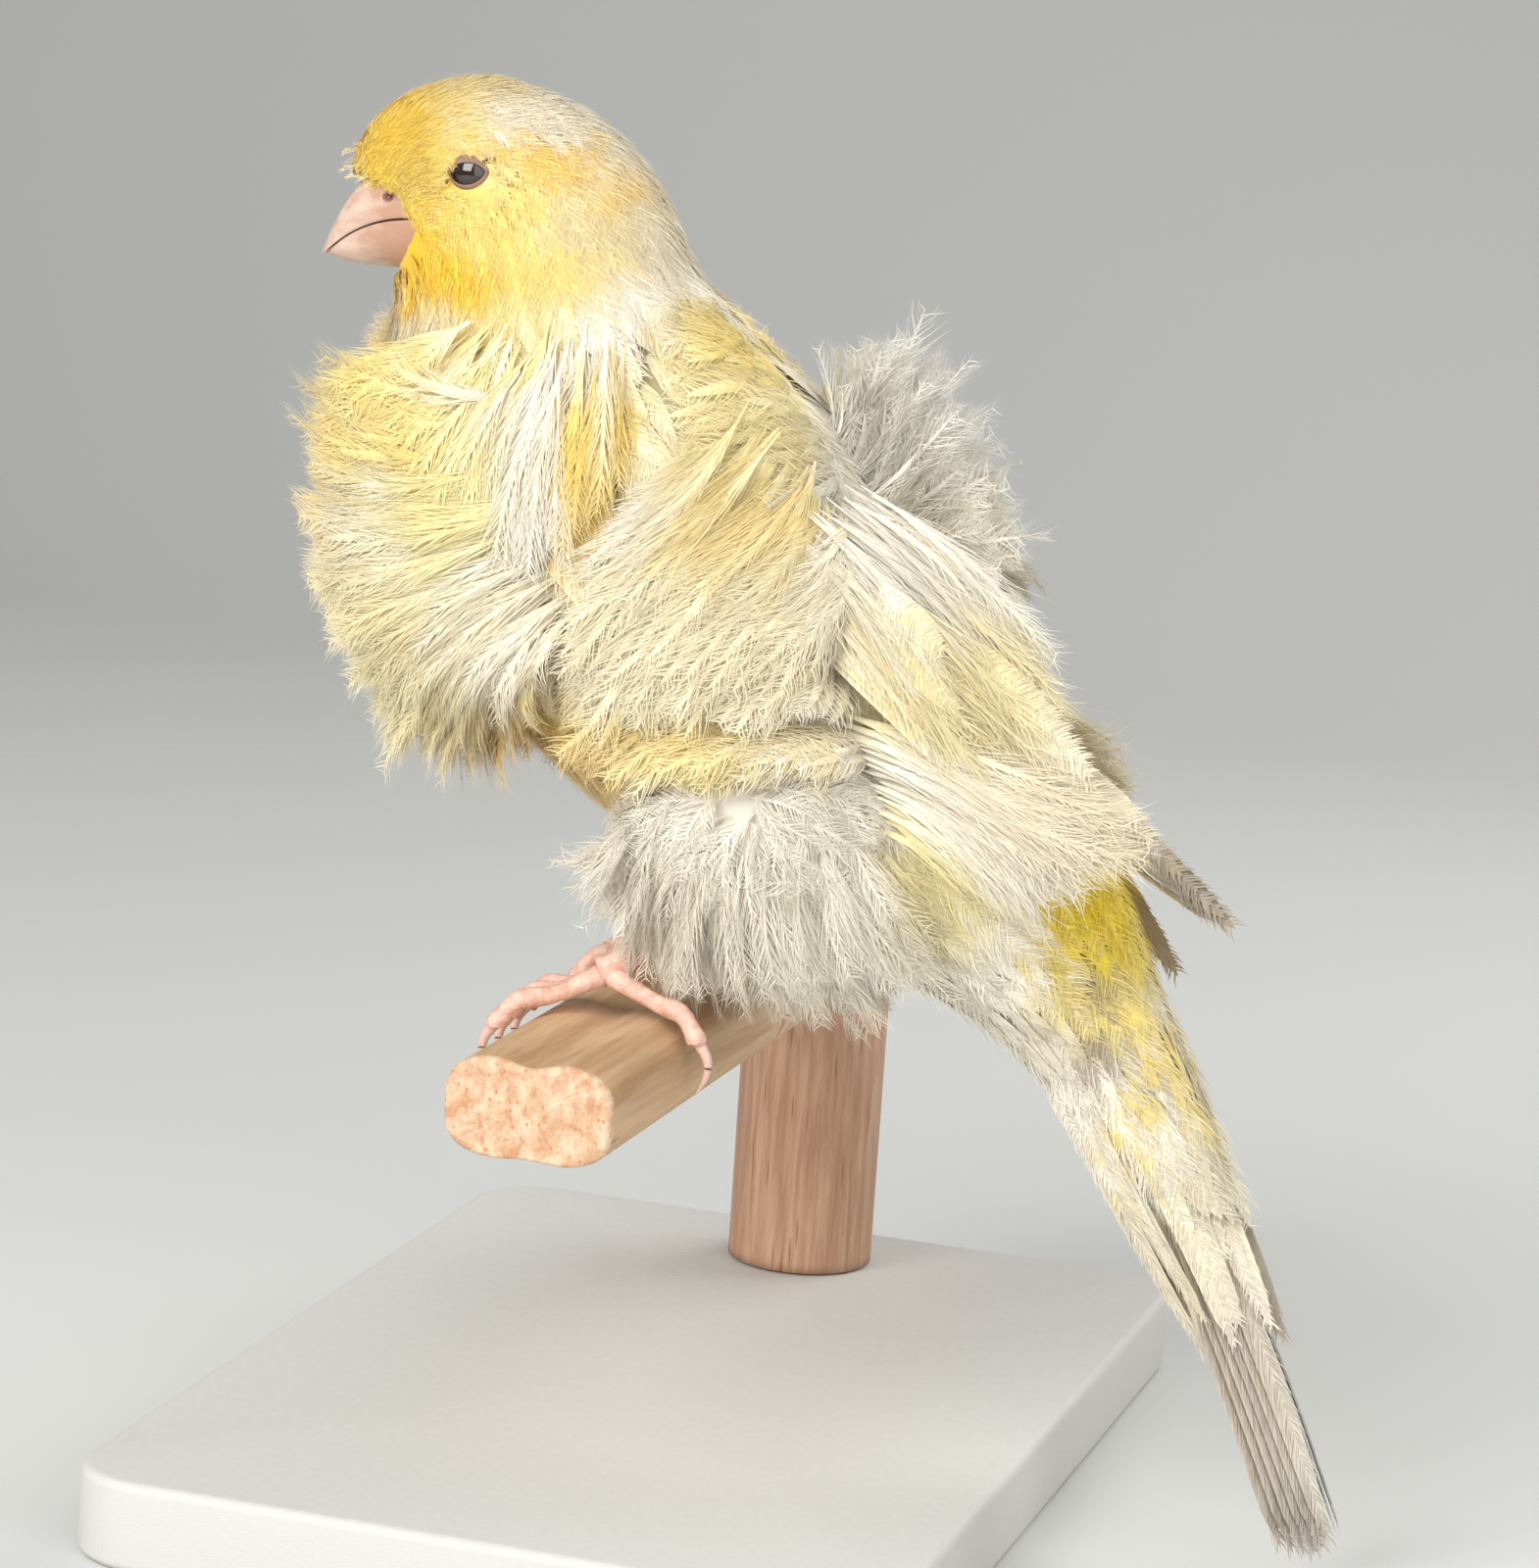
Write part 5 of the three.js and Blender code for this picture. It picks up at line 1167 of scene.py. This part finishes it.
WING_FACE = (0.3, 0.9, 0.35)
PRIMARIES = {"roots": [(27, 11.2, 36), (28, 10.8, 38)], "face": WING_FACE, "bulge": (0.5, 0.5),
             "tips": [(61.7, 7.5, 13.8), (58.5, 8, 16.4), (54, 8.4, 20), (50, 8.4, 24)]}
SECONDARIES = {"roots": [(20, 16.2, 39), (24, 13.6, 44)], "face": WING_FACE, "bulge": (1.5, 2),
               "tips": [(48.5, 13, 24.5), (46, 12.6, 29.5), (40, 11.6, 35)]}
COVERTS = {"roots": [(18, 16.8, 41), (21, 15, 46)], "face": WING_FACE, "bulge": (2, 2.5),
           "tips": [(34, 17.4, 28), (34, 16.4, 34), (31, 14.4, 40)]}
FAR_WING_DROOP = (-8.5, 0, -9)
FAR_INNER_DROOP = (-8, -5, -12)
for side_name, side in SIDES.items():
    rng = np.random.default_rng(61 + side)
    batches = [vanes(rng, PRIMARIES, 8, side, 1.9, 90, droop=FAR_WING_DROOP, ragged=0.003),
               vanes(rng, SECONDARIES, 9, side, 1.8, 70, droop=FAR_INNER_DROOP),
               vanes(rng, COVERTS, 14, side, 1.5, 40, droop=FAR_INNER_DROOP, step=0.2, short=0.85)]
    coat_piece("wing_feathers_" + side_name, "grey_plumage", batches, "wing_" + side_name)

TAIL_FACE = (0.88, 0.35, 0.42)
RECTRICES = {"roots": [(49.5, 3.4, -3), (51.5, 0.8, -1)], "face": TAIL_FACE, "bulge": (0.5, 1),
             "tips": [(69.8, 6.4, -47.6), (72.3, 4.2, -49.2), (73.4, 1.6, -48.6)]}
UPPER_COVERTS = {"roots": [(50, 1.0, 6), (48, 4.2, 4), (46, 5.0, 1)], "face": (0.5, 0.8, 0.3),
                 "bulge": (0.5, 0.6), "tips": [(68, 2, -29), (66.3, 4.6, -31), (63, 5.2, -28)]}
UNDER_COVERTS = {"roots": [(38, 1.0, -0.5), (40, 4, 1), (43, 5, 2)], "face": (-0.5, 0.8, -0.3),
                 "bulge": (0.5, 0.6), "tips": [(60, 1.8, -28), (62, 4.4, -31), (63.5, 5.2, -28)]}
tail_rng = np.random.default_rng(71)
batches = []
for side in (-1, 1):
    batches += [vanes(tail_rng, RECTRICES, 6, side, 2.0, 110, ragged=0.001),
                vanes(tail_rng, UPPER_COVERTS, 26, side, 1.2, 50, step=0.04, ragged=0.002, short=0.35),
                vanes(tail_rng, UNDER_COVERTS, 26, side, 1.2, 50, step=0.04, ragged=0.002, short=0.35)]
coat_piece("tail_feathers", "grey_plumage", batches, "tail")


# Bill. Two conical horn halves that meet along the mouth line, which bends down to the tip. The upper
# one overhangs and has a nostril on each side at the edge of the feathers, a shallow pit with painted shade.
GAPE = np.array([-28.2, 75.5])
BILL_TIP = np.array([-40.7, 70.6])
BILL_HEIGHT, BILL_HALF, BILL_KEEL, LOWER_REACH = 6.4, 4.6, 70.4, 0.95
MOUTH_GAP, MOUTH_BEND = 0.1, 2.2
NOSTRIL = np.array([-32.4, 3.8, 77.45])


def mouth_line(u):
    """The middle of the mouth at shares u of the way from the gape to the tip."""
    return GAPE[0] + (BILL_TIP[0] - GAPE[0]) * u, GAPE[1] + (BILL_TIP[1] - GAPE[1]) * u ** MOUTH_BEND


def bill_half(up):
    """One half of the bill: an arched outer side and a flat inner one."""
    reach = 1.0 if up > 0 else LOWER_REACH
    rings = []
    for share in 1 - (1 - np.linspace(0, 1, 70)) ** 1.4:
        u = 0.995 * reach * share
        x, z = mouth_line(u)
        tall = BILL_HEIGHT * (1 - u ** 3.2) ** 0.8 if up > 0 else (z - BILL_KEEL) * (1 - (u / reach) ** 12)
        wide = BILL_HALF * (1 - (u / reach) ** 1.8) ** 0.8
        angle = np.linspace(0, np.pi, 61)
        arch = np.stack([np.full(61, x), (wide + 0.1) * np.cos(angle),
                         z + up * (MOUTH_GAP + (tall + 0.1) * np.sin(angle))], 1)
        flat = np.stack([np.full(9, x), np.linspace(-0.9, 0.9, 9) * wide, np.full(9, z + up * MOUTH_GAP)], 1)
        ring = np.concatenate([arch, flat])
        for side in (-1, 1):
            away = (ring - NOSTRIL * [1, side, 1]) / [0.75, 1.5, 0.5]
            pit = np.clip(1 - (away ** 2).sum(1), 0, 1) * (up > 0)
            ring[:, 1] -= side * 0.7 * pit
        rings.append(ring)
    return capped(rings)


def fleshy(shader, radius):
    """Lets light a little way into horn or skin, as far for red, green and blue as the radius says."""
    shader.inputs["Subsurface Weight"].default_value = 0.12
    shader.inputs["Subsurface Radius"].default_value = radius
    shader.inputs["Subsurface Scale"].default_value = 0.3


bill_material, bill_tree, bill_shader = new_material("bill_horn", 0.27)
fleshy(bill_shader, (0.004, 0.0015, 0.001))
bill_place = add_node(bill_tree, "Attribute", attribute_name="place").outputs["Vector"]
bill_nostril_shade = add_node(bill_tree, "Attribute", attribute_name="nostril_shade").outputs["Fac"]
bill_parts = add_node(bill_tree, "SeparateXYZ", bill_place)
bill_stretch = add_node(bill_tree, "VectorMath", bill_place, (0.5, 1.6, 1.6), operation="MULTIPLY")
bill_grain = add_node(bill_tree, "TexNoise", Vector=bill_stretch.outputs[0], Scale=0.5, Detail=5.0)
bill_root = add_node(bill_tree, "MapRange", bill_parts.outputs["X"], From_Min=-36.0, From_Max=-29.0)
bill_share = add_node(bill_tree, "Math", bill_root.outputs["Result"], 0.7, bill_grain.outputs["Fac"],
                      operation="MULTIPLY_ADD")
bill_flush = add_node(bill_tree, "MapRange", bill_share.outputs["Value"], From_Min=0.25, From_Max=0.85)
bill_colour = mixed(bill_tree, bill_flush.outputs["Result"], colour(226, 204, 188), colour(192, 150, 126))
# The nostrils' dark inside is painted shade that stands for the depth of their openings, mixed in by its
# mask.
bill_colour = mixed(bill_tree, bill_nostril_shade, bill_colour, colour(92, 46, 34))
feed(bill_tree, bill_shader.inputs["Base Color"], bill_colour)
bumped(bill_tree, bill_shader, bill_grain.outputs["Fac"], 0.2, 0.0001)
for bill_name, node, up in (("bill_top", "bill_upper", 1), ("bill_bottom", "bill_lower", -1)):
    bill_points, bill_faces = bill_half(up)
    bill_piece = mesh_piece(bill_name, bill_points, bill_faces, bill_material)
    # How far each point lies from the nostril, and from that the mask of the nostril's painted shade.
    depth = np.linalg.norm((bill_points * [1, 0, 1] - NOSTRIL * [1, 0, 1]) / [0.7, 1, 0.45], axis=1)
    nostril_shade = np.clip(1.6 - 1.2 * depth, 0, 1) * (up > 0) * (np.abs(bill_points[:, 1]) > 1.5)
    nostril_shade_values = bill_piece.data.attributes.new("nostril_shade", "FLOAT", "POINT")
    nostril_shade_values.data.foreach_set("value", nostril_shade.astype(np.float32))
    give_places(bill_piece.data, "place", bill_points)
    dress(bill_piece, "bill_horn", node)


# Eyes. Dark brown balls, set as deep as the real ones, each in a narrow almond opening between two
# lids of bare greyish pink skin.
eye_material, eye_tree, eye_shader = new_material("eye", 0.06)
eye_shader.inputs["Coat Weight"].default_value = 1.0
eye_shader.inputs["Coat Roughness"].default_value = 0.03
mottle(eye_tree, eye_shader, colour(12, 7, 5), colour(44, 24, 14), 700.0, 3.0)
lid_material, lid_tree, lid_shader = new_material("lid_skin", 0.6)
lid_grain = mottle(lid_tree, lid_shader, colour(128, 96, 78), colour(186, 152, 128), 3000.0, 4.0, (0.3, 0.7))
bumped(lid_tree, lid_shader, lid_grain, 0.6, 0.0001)
BALL_SIDES, LID_SIDES = 48, 72
OPENING_HALF, OPENING_TILT, OPENING_SHIFT = (1.85, 1.1), 0.16, (-0.1, -0.05)
LID_HALF = (2.75, 2.2)
LID_PROFILE = [(0.03, -0.25), (0.0, 0.02), (0.02, 0.14), (0.12, 0.2), (0.3, 0.2), (0.6, 0.12), (1.0, -0.5)]
ball_angle = np.linspace(0, 2 * np.pi, BALL_SIDES, endpoint=False)
lid_angle = np.linspace(0, 2 * np.pi, LID_SIDES, endpoint=False)
lid_cos, lid_sin = np.cos(lid_angle), np.sin(lid_angle)
almond = np.stack([OPENING_HALF[0] * lid_cos, OPENING_HALF[1] * np.sign(lid_sin) * np.abs(lid_sin) ** 1.3], 1)
cos_tilt, sin_tilt = math.cos(OPENING_TILT), math.sin(OPENING_TILT)
almond = almond @ np.array([[cos_tilt, sin_tilt], [-sin_tilt, cos_tilt]]) + OPENING_SHIFT
lid_edge = np.stack([LID_HALF[0] * lid_cos, LID_HALF[1] * lid_sin], 1)
for spot, (side_name, side) in zip(eye_spot, SIDES.items()):
    low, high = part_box("eye_" + side_name)
    radius = (high.z - low.z) / 2 / MM
    rings = []
    for theta in np.linspace(0.02, np.pi - 0.02, 33):
        rings.append(spot + radius * np.stack([np.sin(theta) * np.cos(ball_angle),
                                               np.full(BALL_SIDES, -np.cos(theta)),
                                               np.sin(theta) * np.sin(ball_angle)], 1))
    dress(mesh_piece("eyeball_" + side_name, *capped(rings), eye_material), "eye", "eye_" + side_name)
    lid_rings = []
    for share, above in LID_PROFILE:
        flat = almond * (1 - share) + lid_edge * share
        sphere_y = np.sqrt(np.maximum((radius + above) ** 2 - (flat ** 2).sum(1), 0.02))
        lid_rings.append(spot + np.stack([flat[:, 0], side * sphere_y, flat[:, 1]], 1))
    lid_faces = ring_faces(len(lid_rings), LID_SIDES)
    dress(mesh_piece("lids_" + side_name, np.concatenate(lid_rings), lid_faces, lid_material), "foot_skin")


# Feet. Slender pinkish legs and knuckled toes with small scales, gripping the perch, each toe with
# a curved claw of pale horn.
def limb_rings(places, radii, around, steps, scales=0.0, pitch=1.0):
    """Rings of a limb of changing girth along a bent line, with raised scales across its top."""
    t = np.linspace(0, 1, steps)
    centre = line(places, t)
    girth = line(np.array(radii, float)[:, None], t)[:, 0]
    heading = unit(np.gradient(centre, axis=0))
    upright = unit(np.array([0.0, 0, 1]) - heading * heading[:, 2:3] + 1e-6)
    across = np.cross(heading, upright)
    run = np.concatenate([[0], np.cumsum(np.linalg.norm(np.diff(centre, axis=0), axis=1))])
    angle = np.linspace(0, 2 * np.pi, around, endpoint=False)
    saw = (run / pitch) % 1
    saw = np.where(saw < 0.85, saw / 0.85, (1 - saw) / 0.15)
    raised = scales * saw[:, None] * (0.6 + 0.4 * np.sin(angle))
    radius = girth[:, None] * (1 + raised)
    return (centre[:, None] + radius[..., None] * (np.cos(angle)[None, :, None] * across[:, None]
                                                  + np.sin(angle)[None, :, None] * upright[:, None]))


foot_material, foot_tree, foot_shader = new_material("foot_skin", 0.5)
fleshy(foot_shader, (0.003, 0.0012, 0.0008))
mottle(foot_tree, foot_shader, colour(214, 160, 140), colour(240, 204, 186), 900.0, 5.0, (0.3, 0.7), "Object")
foot_place = add_node(foot_tree, "TexCoord").outputs["Object"]
foot_scales = add_node(foot_tree, "TexVoronoi", Vector=foot_place, Scale=1700.0, feature="DISTANCE_TO_EDGE")
bumped(foot_tree, foot_shader, foot_scales.outputs["Distance"], 0.6, 0.00015)
claw_material, claw_tree, claw_shader = new_material("claw_horn", 0.3)
mottle(claw_tree, claw_shader, colour(206, 160, 142), colour(236, 206, 192), 1200.0, 3.0)
FEET = {
    "left": {"shin": [(10.5, -11.5, 12.8), (6.4, -12, 8.6), (2.6, -13.1, 6.1)], "joint": (-0.8, -14, 4.0),
             "toes": {"inner": -11.6, "middle": -16.2, "outer": -20.8, "back": -17.2}},
    "right": {"shin": [(10.5, 10.5, 12.8), (6.6, 9.6, 8.6), (2.6, 8.7, 6.0)], "joint": (-0.8, 8, 3.8),
              "toes": {"inner": 3.4, "middle": 8.2, "outer": 13, "back": 9.6}},
}
TOE_LINE = [(5, 0.55, 1.7), (8, 0.88, 1.1), (9.7, 1, -1.0), (9.9, 1, -1.5)]
CLAW_LINE = [(9.9, -1.2), (11.0, -2.9), (11.0, -4.7), (10.0, -6.7)]
TARSUS_GIRTH = (1.2, 1.05, 1.0, 1.5)
TOE_GIRTH = (1.15, 0.85, 1.0, 0.85, 1.0, 0.55)
CLAW_GIRTH = (0.62, 0.5, 0.32, 0.05)
for side_name, foot in FEET.items():
    joint = np.array(foot["joint"])
    shin_line = [*foot["shin"], joint + [-0.6, 0, -0.3]]
    shin_rings = limb_rings(shin_line, TARSUS_GIRTH, 28, 90, 0.07, 1.1)
    pieces = [("tarsus_" + side_name, shin_rings, foot_material, "foot_skin")]
    for toe, y in foot["toes"].items():
        front = 1 if toe == "back" else -1
        reach = y - joint[1]
        start = joint + [front * 0.6, reach * 0.05, -0.6]
        toe_line = [start] + [(front * x, joint[1] + reach * share, z) for x, share, z in TOE_LINE]
        toe_rings = limb_rings(toe_line, TOE_GIRTH, 24, 80, 0.09, 0.9)
        claw_line = [(front * x, y, z) for x, z in CLAW_LINE]
        claw_rings = limb_rings(claw_line, CLAW_GIRTH, 16, 30)
        pieces.append((f"toe_{toe}_{side_name}", toe_rings, foot_material, "foot_skin"))
        pieces.append((f"claw_{toe}_{side_name}", claw_rings, claw_material, "claw_horn"))
    for node, rings, material, slot in pieces:
        dress(mesh_piece("visual_" + node, *capped(rings), material), slot, node)
